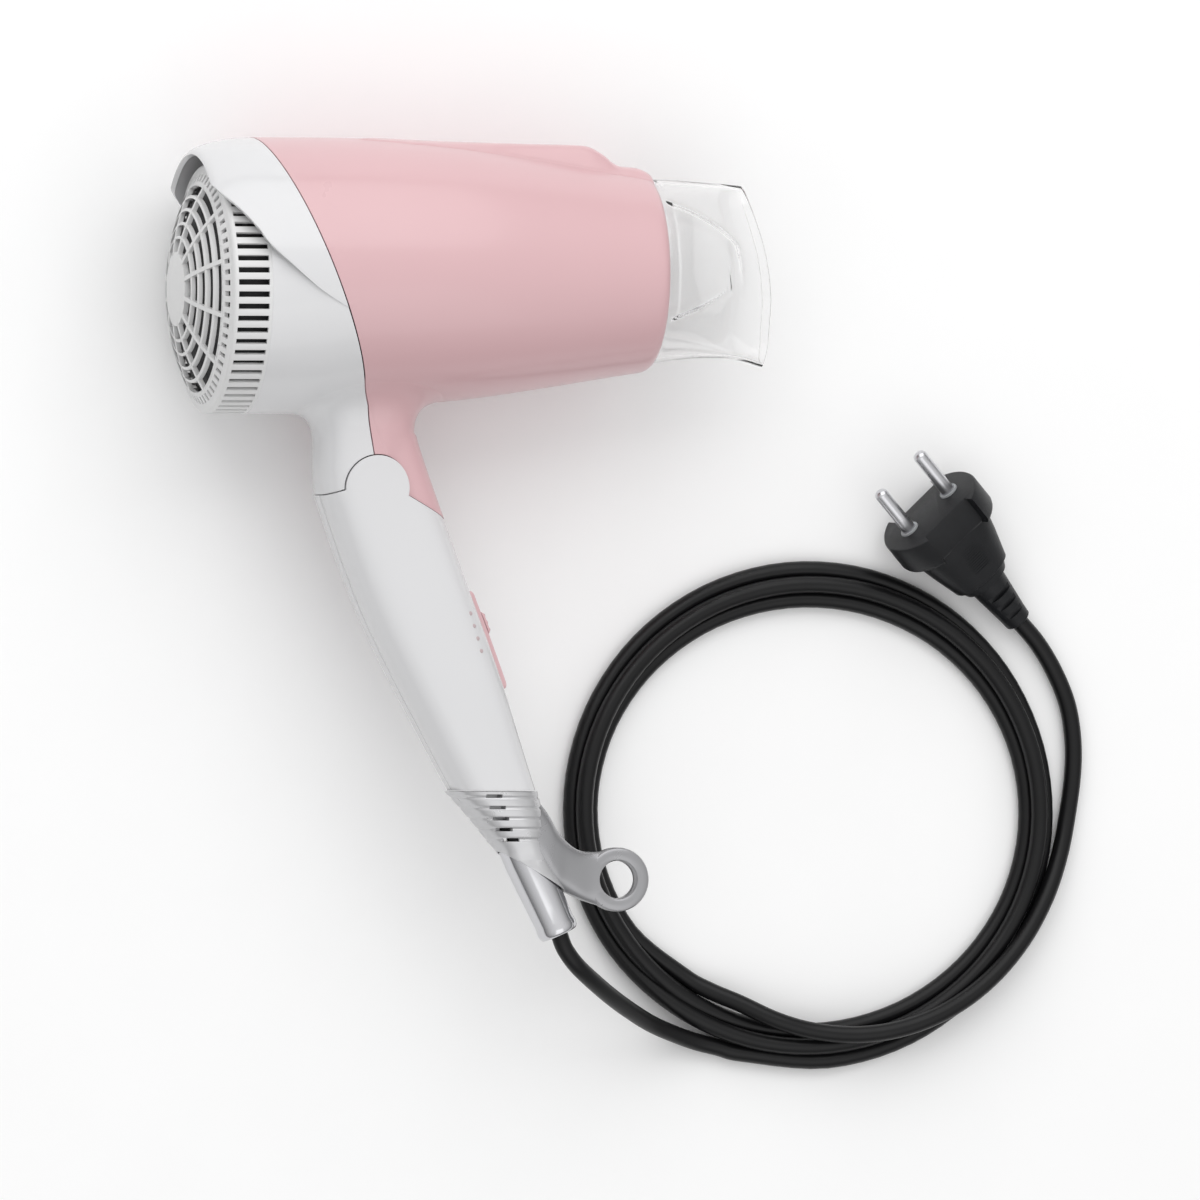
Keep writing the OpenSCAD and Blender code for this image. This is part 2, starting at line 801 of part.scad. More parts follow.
// Tapered collar below the handle, with its arm and the ring to hang the dryer by
module hang_loop() color("silver") {
    difference() {
        union() {
            hull() {
                intersection() {
                    handle_solid(0);
                    translate([20, handle_end_y - 1.3, -40]) cube([60, 1, 80]);
                }
                translate([58.6, handle_end_y - 20.6, 0]) rotate([90, 0, 0])
                    scale([1, 0.78, 1]) cylinder(r = 11.6, h = 1, $fn = soft_fn);
            }
            on_axis(106, 4) cylinder(r = 7.9, h = 12, $fn = 64);
            translate([0, 0, -3]) linear_extrude(6) arm_outline();
            translate([ring_at[0], ring_at[1], -3]) cylinder(r = ring_r, h = 6, $fn = 96);
        }
        translate([ring_at[0], ring_at[1], -10]) cylinder(r = ring_hole_r, h = 20, $fn = 96);
        // Ribs: five short slots down the front of the collar
        for (k = [0 : 4])
            translate([46 + 2 * k, handle_end_y - 3.2 - 3.6 * k, 6]) cube([8, 1, 20]);
        sleeve_axis() {
            translate([0, 0, -34]) cylinder(r = 5.6, h = 70, $fn = 64);
            translate([0, 0, 0.8]) cylinder(r = 7.4, h = 40, $fn = 64);
        }
    }
}

module arm_outline() {
    polygon([
        [60, -104], [62.4, -109], [65.8, -115.7], [70.3, -121], [74, -123.4], [79, -124.3],
        [88, -123], [92, -142], [85, -143.9], [78.6, -142], [72, -139.4], [66, -136.4], [61, -131]
    ]);
}

// Axis of the cord sleeve, Z pointing out along the cord, from the sleeve's upper end
module sleeve_axis() {
    translate([
        sleeve_end[0] - sleeve_l * sin(sleeve_lean),
        sleeve_end[1] + sleeve_l * cos(sleeve_lean),
        0
    ]) rotate([0, 0, sleeve_lean]) rotate([90, 0, 0]) children();
}

module cord_sleeve() color("silver") {
    sleeve_axis() rotate_extrude($fn = 64) polygon([
        [3.9, -9], [5.5, -9], [5.5, 1], [7.3, 1], [6.5, 24], [6.2, 28.6], [5.8, 29.6], [5, sleeve_l],
        [4.6, 29.6], [4.6, 21], [3.9, 21]
    ]);
}

module cord_grommet() color("black") {
    sleeve_axis() rotate_extrude($fn = 64) polygon([
        [cord_d / 2, 21.2], [4.5, 21.2], [4.5, 30.4], [3.8, 31.6], [cord_d / 2, 31.6]
    ]);
}

module cord_clamp() color("dimgray") {
    on_axis(102, -3) difference() {
        translate([-6, -2.5, -1]) cube([12, 3, 3]);
        for (x = [-4, 4]) translate([x, -5, 0.5]) rotate([-90, 0, 0])
            cylinder(r = 0.8, h = 10, $fn = 24);
    }
}

// ---------- mains lead ----------

module cord_lead() color("black") cord_tube(lead_route, cord_d);

module cord_tail() color("black") cord_tube(tail_route, cord_d);

module cord_coil() color("black") {
    translate([coil_centre[0], coil_centre[1], 0]) rotate_extrude($fn = 128) polygon([
        [coil_r - 16.5, 0], [coil_r + 2.6, 0], [coil_r + 3, 3], [coil_r + 1.6, 5.8],
        [coil_r - 3, 7.8], [coil_r - 11, 7.8], [coil_r - 16, 5.8], [coil_r - 17.4, 3]
    ]);
}

// Plug, drawn along Z from the cord's end to the face that the pins stand on
module plug_frame() {
    translate(plug_end) rotate([0, 90 - plug_tilt, plug_azimuth]) children();
}

module plug_body() color("black") {
    plug_frame() {
        difference() {
            union() {
                // Strain relief
                rotate_extrude($fn = 48) polygon([
                    [0, 0], [4.3, 0], [4.9, 2], [6, 24], [0, 24]
                ]);
                // Grip, widening towards the face
                hull() {
                    translate([0, 0, 20]) cylinder(r = 6.4, h = 1, $fn = soft_fn);
                    translate([0, 0, 36]) scale([0.72, 1, 1]) cylinder(r = 13.5, h = 8, $fn = soft_fn);
                }
                translate([0, 0, plug_l - 11]) cylinder(r = plug_r, h = 11, $fn = 96);
            }
            // Notches in the rim for round sockets
            for (side = [-1, 1]) {
                translate([side * (plug_r + 0.5), 0, plug_l - 12])
                    cylinder(r = 3.4, h = 14, $fn = 48);
            }
            for (k = [0 : 2], side = [-1, 1])
                translate([side * 5.6 - 1.5, -8, 5 + 5 * k]) cube([3, 16, 1.6]);
            for (side = [-1, 1])
                translate([0, side * pin_spacing / 2, plug_l - 14])
                    cylinder(r = shank_r + 0.05, h = 20, $fn = 48);
        }
    }
}

// Each pin has a thicker shank, as far as the top of its collar
shank_r = pin_r + 0.3;
collar_h = 0.8;
module plug_pins() color("silver") {
    plug_frame() for (side = [-1, 1])
        translate([0, side * pin_spacing / 2, plug_l]) rotate_extrude($fn = 48) polygon([
            [0, -13.9], [shank_r, -13.9], [shank_r, collar_h], [pin_r, collar_h],
            [pin_r, pin_l - 1.2], [pin_r - 1.2, pin_l], [0, pin_l]
        ]);
}

module pin_collars() color("lightgray") {
    plug_frame() for (side = [-1, 1])
        translate([0, side * pin_spacing / 2, plug_l]) difference() {
            cylinder(r = pin_r + 1.2, h = collar_h, $fn = 48);
            translate([0, 0, -1]) cylinder(r = shank_r + 0.05, h = 3, $fn = 48);
        }
}

// ---------- the parts ----------

placed() rear_shell();
placed() barrel_shell();
placed() rear_grille();
placed() lint_filter();
placed() fan_duct();
placed() motor_can();
placed() motor_end_cap();
placed() brush_holders();
placed() mica_tube();
placed() heater_boards();
placed() heating_coils();
placed() thermostat();
placed() thermal_fuse();
placed() outlet_grille();
placed() head_wires();
placed() head_screws();
placed() hinge_bushes();
placed() fan_rotor();
placed() motor_shaft();
placed() nozzle_ring();
placed() nozzle();
placed() handle_shell_left();
placed() handle_shell_right();
placed() hinge_washers();
placed() switch_plate();
placed() switch_body();
placed() rectifier_board();
placed() position_marks();
placed() hang_loop();
placed() cord_sleeve();
placed() cord_grommet();
placed() cord_clamp();
placed() handle_screws();
placed() handle_wires();
placed() slide_button();
placed() switch_actuator();
cord_lead();
cord_coil();
cord_tail();
plug_body();
plug_pins();
pin_collars();
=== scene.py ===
"""Visual model of a folding travel hair dryer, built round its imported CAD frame.

Shapes of the dryer are worked out in millimetres about the fold hinge, with +X along the barrel,
+Y from the handle to the barrel and +Z towards the viewer, and then put in the row frame in metres.
"""

import json
import math

import bmesh
import bpy
import numpy as np
from mathutils import Matrix, Vector


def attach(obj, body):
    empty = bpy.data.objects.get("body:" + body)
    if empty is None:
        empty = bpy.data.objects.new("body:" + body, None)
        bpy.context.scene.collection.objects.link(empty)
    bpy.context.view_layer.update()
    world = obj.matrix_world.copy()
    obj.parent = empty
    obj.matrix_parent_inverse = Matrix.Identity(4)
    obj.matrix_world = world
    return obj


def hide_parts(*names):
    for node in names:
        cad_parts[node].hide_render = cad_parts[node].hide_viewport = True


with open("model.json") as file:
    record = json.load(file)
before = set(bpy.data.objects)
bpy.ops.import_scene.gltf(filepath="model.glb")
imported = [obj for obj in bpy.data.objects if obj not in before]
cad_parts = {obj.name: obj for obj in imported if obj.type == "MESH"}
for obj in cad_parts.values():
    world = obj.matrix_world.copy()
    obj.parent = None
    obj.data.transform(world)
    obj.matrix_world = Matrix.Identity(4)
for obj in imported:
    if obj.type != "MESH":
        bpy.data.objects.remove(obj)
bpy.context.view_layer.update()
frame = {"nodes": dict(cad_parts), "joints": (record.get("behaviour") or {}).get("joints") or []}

MM = 0.001
joints = {j["name"]: j for j in frame["joints"]}
HINGE = Vector(joints["fold"]["pos_m"])
AXIS_Y = (joints["fan_spin"]["pos_m"][1] - HINGE.y) / MM


# ---------- camera, floor and light ----------

# The camera looks down, leaning back over the rear of the dryer, from far enough to be nearly flat
VIEW_TILT = math.radians(15)
VIEW_WIDTH = 0.4096
VIEW_DISTANCE = 12.0
SENSOR = 36.0
LOOK_Z = 0.0236
LOOK_AT = Vector((0.0578 - LOOK_Z * math.tan(VIEW_TILT), -0.0202, LOOK_Z))


def make_camera():
    back = Vector((-math.sin(VIEW_TILT), 0, math.cos(VIEW_TILT)))
    up = Vector((0, 1, 0))
    right = up.cross(back)
    data = bpy.data.cameras.new("camera")
    data.sensor_width = SENSOR
    data.lens = SENSOR * VIEW_DISTANCE / VIEW_WIDTH
    data.clip_start, data.clip_end = 0.05, 30
    camera = bpy.data.objects.new("camera", data)
    bpy.context.scene.collection.objects.link(camera)
    turn = Matrix((right, up, back)).transposed().to_4x4()
    camera.matrix_world = Matrix.Translation(LOOK_AT + back * VIEW_DISTANCE) @ turn
    bpy.context.scene.camera = camera


def area_light(name, place, target, size, power, color=(1, 1, 1)):
    data = bpy.data.lights.new(name, "AREA")
    data.shape, data.size, data.energy, data.color = "SQUARE", size, power, color
    light = bpy.data.objects.new(name, data)
    light.location = place
    light.rotation_mode = "QUATERNION"
    light.rotation_quaternion = (Vector(target) - Vector(place)).to_track_quat("-Z", "Y")
    bpy.context.scene.collection.objects.link(light)


make_camera()


# ---------- materials ----------


def material(
    name,
    color,
    rough=0.4,
    metal=0.0,
    vary=0.04,
    vary_scale=30.0,
    rough_vary=0.06,
    bump=0.02,
    bump_scale=900.0,
    bump_depth=0.00005,
    coat=0.0,
    coat_rough=0.1,
    transmission=0.0,
    ior=1.46,
    specular=0.5,
):
    """A procedural surface: its colour, roughness and height all vary a little with place."""
    made = bpy.data.materials.new(name)
    made.use_nodes = True
    nodes, links = made.node_tree.nodes, made.node_tree.links
    shader = nodes["Principled BSDF"]
    place = nodes.new("ShaderNodeTexCoord")

    def cloud(scale, detail):
        texture = nodes.new("ShaderNodeTexNoise")
        texture.inputs["Scale"].default_value = scale
        texture.inputs["Detail"].default_value = detail
        links.new(place.outputs["Object"], texture.inputs["Vector"])
        return texture

    tint = cloud(vary_scale, 3.0)
    blend = nodes.new("ShaderNodeMix")
    blend.data_type = "RGBA"
    blend.inputs["A"].default_value = [c * (1 - vary) for c in color] + [1]
    blend.inputs["B"].default_value = [min(1, c * (1 + vary)) for c in color] + [1]
    links.new(tint.outputs["Fac"], blend.inputs["Factor"])
    links.new(blend.outputs["Result"], shader.inputs["Base Color"])

    wear = cloud(vary_scale * 2.7, 4.0)
    spread = nodes.new("ShaderNodeMapRange")
    spread.inputs["To Min"].default_value = max(0.02, rough - rough_vary)
    spread.inputs["To Max"].default_value = min(1.0, rough + rough_vary)
    links.new(wear.outputs["Fac"], spread.inputs["Value"])
    links.new(spread.outputs["Result"], shader.inputs["Roughness"])

    grain = cloud(bump_scale, 2.0)
    height = nodes.new("ShaderNodeBump")
    height.inputs["Strength"].default_value = bump
    height.inputs["Distance"].default_value = bump_depth
    links.new(grain.outputs["Fac"], height.inputs["Height"])
    links.new(height.outputs["Normal"], shader.inputs["Normal"])

    shader.inputs["Metallic"].default_value = metal
    shader.inputs["IOR"].default_value = ior
    shader.inputs["Coat Weight"].default_value = coat
    shader.inputs["Coat Roughness"].default_value = coat_rough
    shader.inputs["Transmission Weight"].default_value = transmission
    shader.inputs["Specular IOR Level"].default_value = specular
    return made


WHITE = material(
    "white_gloss", (0.69, 0.69, 0.70), rough=0.24, coat=0.35, coat_rough=0.08, vary=0.012,
)
WHITE_GRILLE = material("white_satin", (0.70, 0.70, 0.70), rough=0.36, vary=0.015, bump=0.05)
PINK = material(
    "pink_pearl", (0.67, 0.43, 0.45), rough=0.30, coat=0.30, coat_rough=0.12, vary=0.03,
    vary_scale=14.0, bump=0.04, bump_scale=2600.0,
)
DARK = material("dark_heatproof", (0.03, 0.03, 0.032), rough=0.55, bump=0.3)
GREY = material("grey_nylon", (0.30, 0.31, 0.32), rough=0.5, bump=0.2)
FILTER = material("filter_weave", (0.03, 0.03, 0.032), rough=0.7, bump=0.6, bump_scale=1500.0)
STEEL = material(
    "plated_steel", (0.62, 0.62, 0.64), rough=0.28, metal=1.0, bump=0.08, rough_vary=0.1,
)
IVORY = material("ivory_nylon", (0.66, 0.60, 0.46), rough=0.45, bump=0.1)
BRASS = material("brass", (0.72, 0.49, 0.18), rough=0.3, metal=1.0, rough_vary=0.12)
MICA = material(
    "mica_sheet", (0.48, 0.34, 0.19), rough=0.42, vary=0.35, vary_scale=160.0, bump=0.4,
    bump_scale=300.0, coat=0.2,
)
HOT_WIRE = material("resistance_wire", (0.16, 0.14, 0.13), rough=0.5, metal=0.9, vary=0.3, bump=0.3)
RED = material("red_insulation", (0.42, 0.02, 0.02), rough=0.42, bump=0.1)
BLUE = material("blue_insulation", (0.02, 0.07, 0.32), rough=0.42, bump=0.1)
BOARD = material(
    "circuit_board", (0.02, 0.16, 0.06), rough=0.4, vary=0.2, vary_scale=90.0, coat=0.4,
)
SILVER = material(
    "silver_plastic", (0.33, 0.33, 0.34), rough=0.28, metal=0.6, vary=0.03, rough_vary=0.05,
    bump=0.03,
)
BRIGHT = material(
    "bright_silver", (0.56, 0.56, 0.57), rough=0.30, metal=0.5, vary=0.1, vary_scale=70.0,
    rough_vary=0.08, bump=0.03,
)
MARK = material("mark_print", (0.50, 0.40, 0.41), rough=0.45)
CHROME = material(
    "polished_sleeve", (0.60, 0.60, 0.62), rough=0.16, metal=1.0, vary=0.02, rough_vary=0.04,
)
CLEAR = material(
    "clear_plastic", (0.99, 0.99, 0.99), rough=0.05, transmission=1.0, ior=1.38, vary=0.01,
    rough_vary=0.02, bump=0.01,
)
RUBBER = material(
    "cord_jacket", (0.006, 0.006, 0.0065), rough=0.34, specular=0.28, vary=0.25,
    vary_scale=60.0, bump=0.12, bump_scale=1200.0, rough_vary=0.08,
)
PLUG_BLACK = material(
    "grained_black", (0.009, 0.0095, 0.011), rough=0.42, specular=0.32, vary=0.3,
    vary_scale=200.0, bump=0.55, bump_scale=2400.0, bump_depth=0.0001,
)
FLOOR = material(
    "pale_floor", (0.94, 0.94, 0.94), rough=0.75, vary=0.01, bump=0.05, bump_scale=60.0,
)


# ---------- mesh helpers ----------


def at(x, y, z):
    """A point given in millimetres about the hinge, in the row frame."""
    return HINGE + Vector((x, y, z)) * MM


def in_row(x, y, z):
    """A point given in millimetres in the row frame."""
    return Vector((x, y, z)) * MM


def smooth(t):
    t = min(1.0, max(0.0, t))
    return t * t * (3 - 2 * t)


def curve_value(knots, x):
    """The smooth curve through [place, value...] knots, at x."""
    last = len(knots) - 1
    if x <= knots[0][0]:
        return np.array(knots[0][1:], float)
    if x >= knots[last][0]:
        return np.array(knots[last][1:], float)
    i = max(k for k in range(last) if knots[k][0] <= x)
    p = [np.array(knots[min(last, max(0, i + d))], float) for d in (-1, 0, 1, 2)]
    span = p[2][0] - p[1][0]
    t = (x - p[1][0]) / span
    rise = [
        (p[k + 1] - p[k - 1])[1:] / max(1e-9, (p[k + 1] - p[k - 1])[0]) * span for k in (1, 2)
    ]
    a, b = p[1][1:], p[2][1:]
    return (
        (2 * t**3 - 3 * t**2 + 1) * a
        + (t**3 - 2 * t**2 + t) * rise[0]
        + (3 * t**2 - 2 * t**3) * b
        + (t**3 - t**2) * rise[1]
    )


def spaced(a, b, n):
    return [a + (b - a) * k / n for k in range(n + 1)]


def grid(mesh, rings, closed=True, place=at, keep=None, cap_start=False, cap_end=False):
    """Adds quads over rows of points to a bmesh. keep(i, j) says whether a quad is made."""
    rows = [[mesh.verts.new(place(*p)) for p in ring] for ring in rings]
    n = len(rows[0])
    for i in range(len(rows) - 1):
        for j in range(n if closed else n - 1):
            if keep is None or keep(i, j):
                k = (j + 1) % n
                mesh.faces.new((rows[i][j], rows[i][k], rows[i + 1][k], rows[i + 1][j]))
    if cap_start:
        mesh.faces.new(rows[0][::-1])
    if cap_end:
        mesh.faces.new(rows[-1])
    return rows


def add_object(name, mesh):
    data = bpy.data.meshes.new(name)
    mesh.to_mesh(data)
    mesh.free()
    made = bpy.data.objects.new(name, data)
    bpy.context.scene.collection.objects.link(made)
    return made


def tidy(mesh, outward=True):
    bmesh.ops.remove_doubles(mesh, verts=mesh.verts, dist=1e-6)
    loose = [v for v in mesh.verts if not v.link_faces]
    bmesh.ops.delete(mesh, geom=loose, context="VERTS")
    if outward:
        bmesh.ops.recalc_face_normals(mesh, faces=mesh.faces)


def bake_modifiers(obj):
    """Replaces the object's mesh by what its modifiers make of it."""
    bpy.context.view_layer.update()
    graph = bpy.context.evaluated_depsgraph_get()
    baked = bpy.data.meshes.new_from_object(obj.evaluated_get(graph))
    obj.modifiers.clear()
    obj.data = baked


def cut(obj, tools, operation="DIFFERENCE"):
    """Takes closed tool meshes out of a closed object, and removes the tools."""
    for tool in tools:
        step = obj.modifiers.new("cut", "BOOLEAN")
        step.operation, step.solver, step.object = operation, "EXACT", tool
    bake_modifiers(obj)
    for tool in tools:
        bpy.data.objects.remove(tool)


def split_by_plane(obj, point, normal, keep_front, fill=True):
    """Keeps the part of the object on one side of a plane."""
    mesh = bmesh.new()
    mesh.from_mesh(obj.data)
    done = bmesh.ops.bisect_plane(
        mesh,
        geom=mesh.verts[:] + mesh.edges[:] + mesh.faces[:],
        plane_co=point,
        plane_no=normal,
        clear_inner=keep_front,
        clear_outer=not keep_front,
    )
    if fill:
        edges = [e for e in done["geom_cut"] if isinstance(e, bmesh.types.BMEdge)]
        edges = [e for e in edges if e.is_valid and e.is_boundary]
        if edges:
            bmesh.ops.holes_fill(mesh, edges=edges, sides=0)
    mesh.to_mesh(obj.data)
    mesh.free()


def duplicate(obj, name):
    made = obj.copy()
    made.data = obj.data.copy()
    made.name = name
    bpy.context.scene.collection.objects.link(made)
    return made


def join(objects):
    """Joins the objects into the first of them."""
    mesh = bmesh.new()
    for obj in objects:
        mesh.from_mesh(obj.data)
    mesh.to_mesh(objects[0].data)
    mesh.free()
    for obj in objects[1:]:
        bpy.data.objects.remove(obj)
    return objects[0]


def shade(obj, surface, angle=35.0):
    obj.data.materials.clear()
    obj.data.materials.append(surface)
    for face in obj.data.polygons:
        face.use_smooth = True
    obj.data.set_sharp_from_angle(angle=math.radians(angle))


def thicken(obj, thickness, rim_bevel=0.0, segments=2, angle=40.0):
    """Gives an open skin a wall on its inner side, with rounded edges."""
    wall = obj.modifiers.new("wall", "SOLIDIFY")
    wall.thickness, wall.offset, wall.use_even_offset = thickness * MM, -1, True
    wall.thickness_clamp = 0.0
    if rim_bevel:
        edge_round(obj, rim_bevel, segments, angle)
    bake_modifiers(obj)


def edge_round(obj, width, segments=2, angle=40.0, bake=False):
    bevel = obj.modifiers.new("edge", "BEVEL")
    bevel.width, bevel.segments = width * MM, segments
    bevel.limit_method, bevel.angle_limit = "ANGLE", math.radians(angle)
    bevel.use_clamp_overlap = True
    bevel.harden_normals = False
    if bake:
        bake_modifiers(obj)


def finish_piece(obj, body, surface, nodes=(), angle=35.0):
    shade(obj, surface, angle)
    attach(obj, body)
    if nodes:
        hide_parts(*nodes)
    return obj


def prism(name, outline, z0, z1, place=at):
    """A closed solid over an outline in the dryer's own plane."""
    mesh = bmesh.new()
    low = [mesh.verts.new(place(x, y, z0)) for x, y in outline]
    high = [mesh.verts.new(place(x, y, z1)) for x, y in outline]
    n = len(outline)
    for k in range(n):
        mesh.faces.new((low[k], low[(k + 1) % n], high[(k + 1) % n], high[k]))
    mesh.faces.new(low[::-1])
    mesh.faces.new(high)
    tidy(mesh)
    return add_object(name, mesh)


def disc(name, centre, radius, z0, z1, steps=96):
    turn = [2 * math.pi * k / steps for k in range(steps)]
    outline = [(centre[0] + radius * math.cos(a), centre[1] + radius * math.sin(a)) for a in turn]
    return prism(name, outline, z0, z1)


def lathe(mesh, profile, to_point, steps=96, closed_profile=True):
    """Turns a profile of (radius, distance) about an axis. to_point(radius, distance, angle)."""
    rows = [
        [to_point(r, d, 2 * math.pi * k / steps) for k in range(steps)] for r, d in profile
    ]
    if closed_profile:
        rows.append(rows[0])
    grid(mesh, rows, place=lambda *p: Vector(p))


def barrel_axis_point(r, x, a, axis=None):
    return at(x, (AXIS_Y if axis is None else axis) + r * math.cos(a), r * math.sin(a))


def box_in(mesh, corner, size, to_point):
    """A box in a local frame, whose corners go through to_point."""
    corners = [
        mesh.verts.new(to_point(*(corner[k] + size[k] * ((n >> k) & 1) for k in range(3))))
        for n in range(8)
    ]
    sides = ((0, 2, 3, 1), (4, 5, 7, 6), (0, 1, 5, 4), (2, 6, 7, 3), (0, 4, 6, 2), (1, 3, 7, 5))
    for quad in sides:
        mesh.faces.new([corners[k] for k in quad])


# ---------- mains lead ----------

CORD_D = 6.0
POINTS_PER_TURN = 18
# The coil's first turn: its centre, its half size across and along, and how much each turn is
# smaller than the one before
COIL_CENTRE = (130.1, -92.7)
COIL_HALF = (85.6, 85.6)
COIL_PITCH = (3.08, 5.0)
COIL_TURNS = 2.92
COIL_START = math.radians(-105)

# Row frame, millimetres: from the sleeve's mouth down to the coil's outer turn
LEAD_ROUTE = [
    (31, -134, 46.4), (33, -139, 46.2), (37.5, -144.5, 44.4), (44, -149.5, 39.6), (52.5, -155, 32),
    (62, -160.2, 23), (73.5, -165.6, 13.2), (88, -170.6, 5.4), (98.5, -173.2, 3.2),
]
# Row frame, millimetres: off the coil's inner turn, over the other turns and round to the plug.
# Over the turns it lies up to 2.4 mm higher than the frame's does, because they are separate here
TAIL_ROUTE = [
    (86, -148.6, 3.6), (95, -153.8, 5.4), (105.1, -158.2, 8), (117.4, -164, 10.5),
    (131, -167.8, 11), (147, -169, 12.5), (163.3, -166.4, 13), (179, -160, 12.8),
    (193, -150, 12.2), (205, -137, 10), (213.8, -122.5, 7.8), (219.7, -108, 4.7), (223, -94, 3),
    (224.9, -80, 3), (225, -68, 3), (223, -56, 3), (218.4, -45, 3.2), (212.2, -35.2, 4),
    (204.9, -27.2, 5.2),
]


def coil_point(turns):
    """The middle turn lies in the groove on top of the turns either side of it."""
    angle = COIL_START + 2 * math.pi * turns
    c, d = math.cos(angle), math.sin(angle)
    apart = math.hypot(COIL_PITCH[0] * c, COIL_PITCH[1] * d)
    raised = smooth((turns - 0.86) / 0.12) - smooth((turns - 1.9) / 0.12)
    return (
        COIL_CENTRE[0] + (COIL_HALF[0] - COIL_PITCH[0] * turns) * c,
        COIL_CENTRE[1] + (COIL_HALF[1] - COIL_PITCH[1] * turns) * d,
        CORD_D / 2 + raised * math.sqrt((CORD_D + 0.1) ** 2 - apart**2),
    )


def smooth_route(points, steps):
    """Catmull-Rom curve through the points."""
    p = [np.array(q, float) for q in points]
    route = []
    for i in range(len(p) - 1):
        a, b, c, d = p[max(i - 1, 0)], p[i], p[i + 1], p[min(i + 2, len(p) - 1)]
        for k in range(steps):
            t = k / steps
            route.append(
                0.5
                * (
                    2 * b
                    + (c - a) * t
                    + (2 * a - 5 * b + 4 * c - d) * t * t
                    + (3 * b - a - 3 * c + d) * t**3
                )
            )
    route.append(p[-1])
    return route


def make_cord():
    count = int(COIL_TURNS * POINTS_PER_TURN)
    coil = [coil_point(k / POINTS_PER_TURN) for k in range(count + 1)]
    route = smooth_route(LEAD_ROUTE + coil + TAIL_ROUTE, 5)
    data = bpy.data.curves.new("mains_cord", "CURVE")
    data.dimensions = "3D"
    line = data.splines.new("POLY")
    line.points.add(len(route) - 1)
    for point, q in zip(line.points, route):
        point.co = (*in_row(*q), 1)
    data.bevel_depth = CORD_D / 2 * MM
    data.bevel_resolution = 5
    data.use_fill_caps = True
    cord = bpy.data.objects.new("mains_cord", data)
    bpy.context.scene.collection.objects.link(cord)
    data.materials.append(RUBBER)
    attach(cord, "handle")
    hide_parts("cord_lead", "cord_coil", "cord_tail")
    length = sum(float(np.linalg.norm(route[k + 1] - route[k])) for k in range(len(route) - 1))
    return cord, length * MM


mains_cord, cord_length = make_cord()


# ---------- head: shared shapes ----------

BARREL_LINE = [
    (-70, 46.0), (-14, 46.0), (8, 45.3), (35, 43.0), (62.7, 39.1), (85, 35.5), (93, 34.3),
    (96.6, 33.6), (98.2, 32.6), (98.7, 31.8),
]
SPINE_LINE = [
    (-70, 40.0), (-24, 40.5), (0, 41.0), (20, 41.8), (40, 43.2), (60, 43.6), (73, 43.5),
    (76.5, 43.1), (79, 42.0), (82.6, 39.6), (85, 37.2), (88, 35.5), (93.5, 35.1), (96.4, 33.9),
    (98.2, 32.6), (98.7, 31.7),
]
SPINE_HALF = 10.6
# How square the spine's shoulders are, and how sharply it stands out of the barrel
SPINE_POWER = 7.0
SPINE_BLEND = 18.0
PARTING_X = 7.0
PARTING_SLOPE = 0.4
SHELL_REAR_X = -43.5
GRILLE_Y = 67.4
GRILLE_R = 42.4
# How much the body's radius shrinks towards the grille, and how low it reaches there
BODY_DROP = 3.6
BODY_BOTTOM = 25.0
SEAM_GAP = 0.42

parting_point = at(PARTING_X, 0, 0)
parting_normal = Vector((1, PARTING_SLOPE, 0)).normalized()


def barrel_radius(x):
    return float(curve_value(BARREL_LINE, x)[0])


def spine_radius(x, a):
    """Distance to the barrel's surface at angle a from its top, with the raised spine."""
    plain = barrel_radius(x)
    c, s = math.cos(a), abs(math.sin(a))
    if c < 0.2:
        return plain
    top = float(curve_value(SPINE_LINE, x)[0])
    # Flat-topped bar with rounded shoulders, as seen along the barrel
    reach = ((c / top) ** SPINE_POWER + (s / SPINE_HALF) ** SPINE_POWER) ** (-1 / SPINE_POWER)
    if reach <= plain * 0.9:
        return plain
    return (plain**SPINE_BLEND + reach**SPINE_BLEND) ** (1 / SPINE_BLEND)


def body_drop(x):
    """How far the body has narrowed towards the grille, from 0 to 1."""
    return min(1.0, max(0.0, (-8 - x) / 35.5)) ** 1.4


def lower_body(x):
    """Centre height, radius and lowest height of the rear shell's body."""
    u = body_drop(x)
    lowest = AXIS_Y - barrel_radius(x)
    lowest += (BODY_BOTTOM - lowest) * smooth((-6 - x) / 21)
    return AXIS_Y - (AXIS_Y - GRILLE_Y) * u, barrel_radius(x) - BODY_DROP * u, lowest


def underside(x, z):
    """Height of the head's lower surface."""
    centre, radius, lowest = lower_body(x)
    return centre - (centre - lowest) * math.sqrt(max(0.001, 1 - (z / radius) ** 2))


# ---------- head: barrel ----------


def crowded_angles(n_spine=40, n_rest=90):
    """Angles round the barrel from its top, closer together over the spine."""
    edge = math.radians(24)
    near = [edge * k / n_spine for k in range(-n_spine, n_spine)]
    far = [edge + (2 * math.pi - 2 * edge) * k / n_rest for k in range(n_rest)]
    return near + far


def barrel_skin():
    mesh = bmesh.new()
    angles = crowded_angles()
    places = spaced(-60, 70, 52) + spaced(71, 98.2, 46) + [98.45, 98.7]
    rings = []
    for x in places:
        ring = []
        for a in angles:
            r = spine_radius(x, a)
            ring.append((x, AXIS_Y + r * math.cos(a), r * math.sin(a)))
        rings.append(ring)
    # The rim turns in and runs back inside the barrel
    for x, r in ((98.6, 31.45), (97.8, 31.3), (92, 31.3), (88, 31.8)):
        rings.append([(x, AXIS_Y + r * math.cos(a), r * math.sin(a)) for a in angles])
    grid(mesh, rings)
    tidy(mesh, outward=False)
    return add_object("barrel_skin", mesh)


# ---------- head: hood ----------

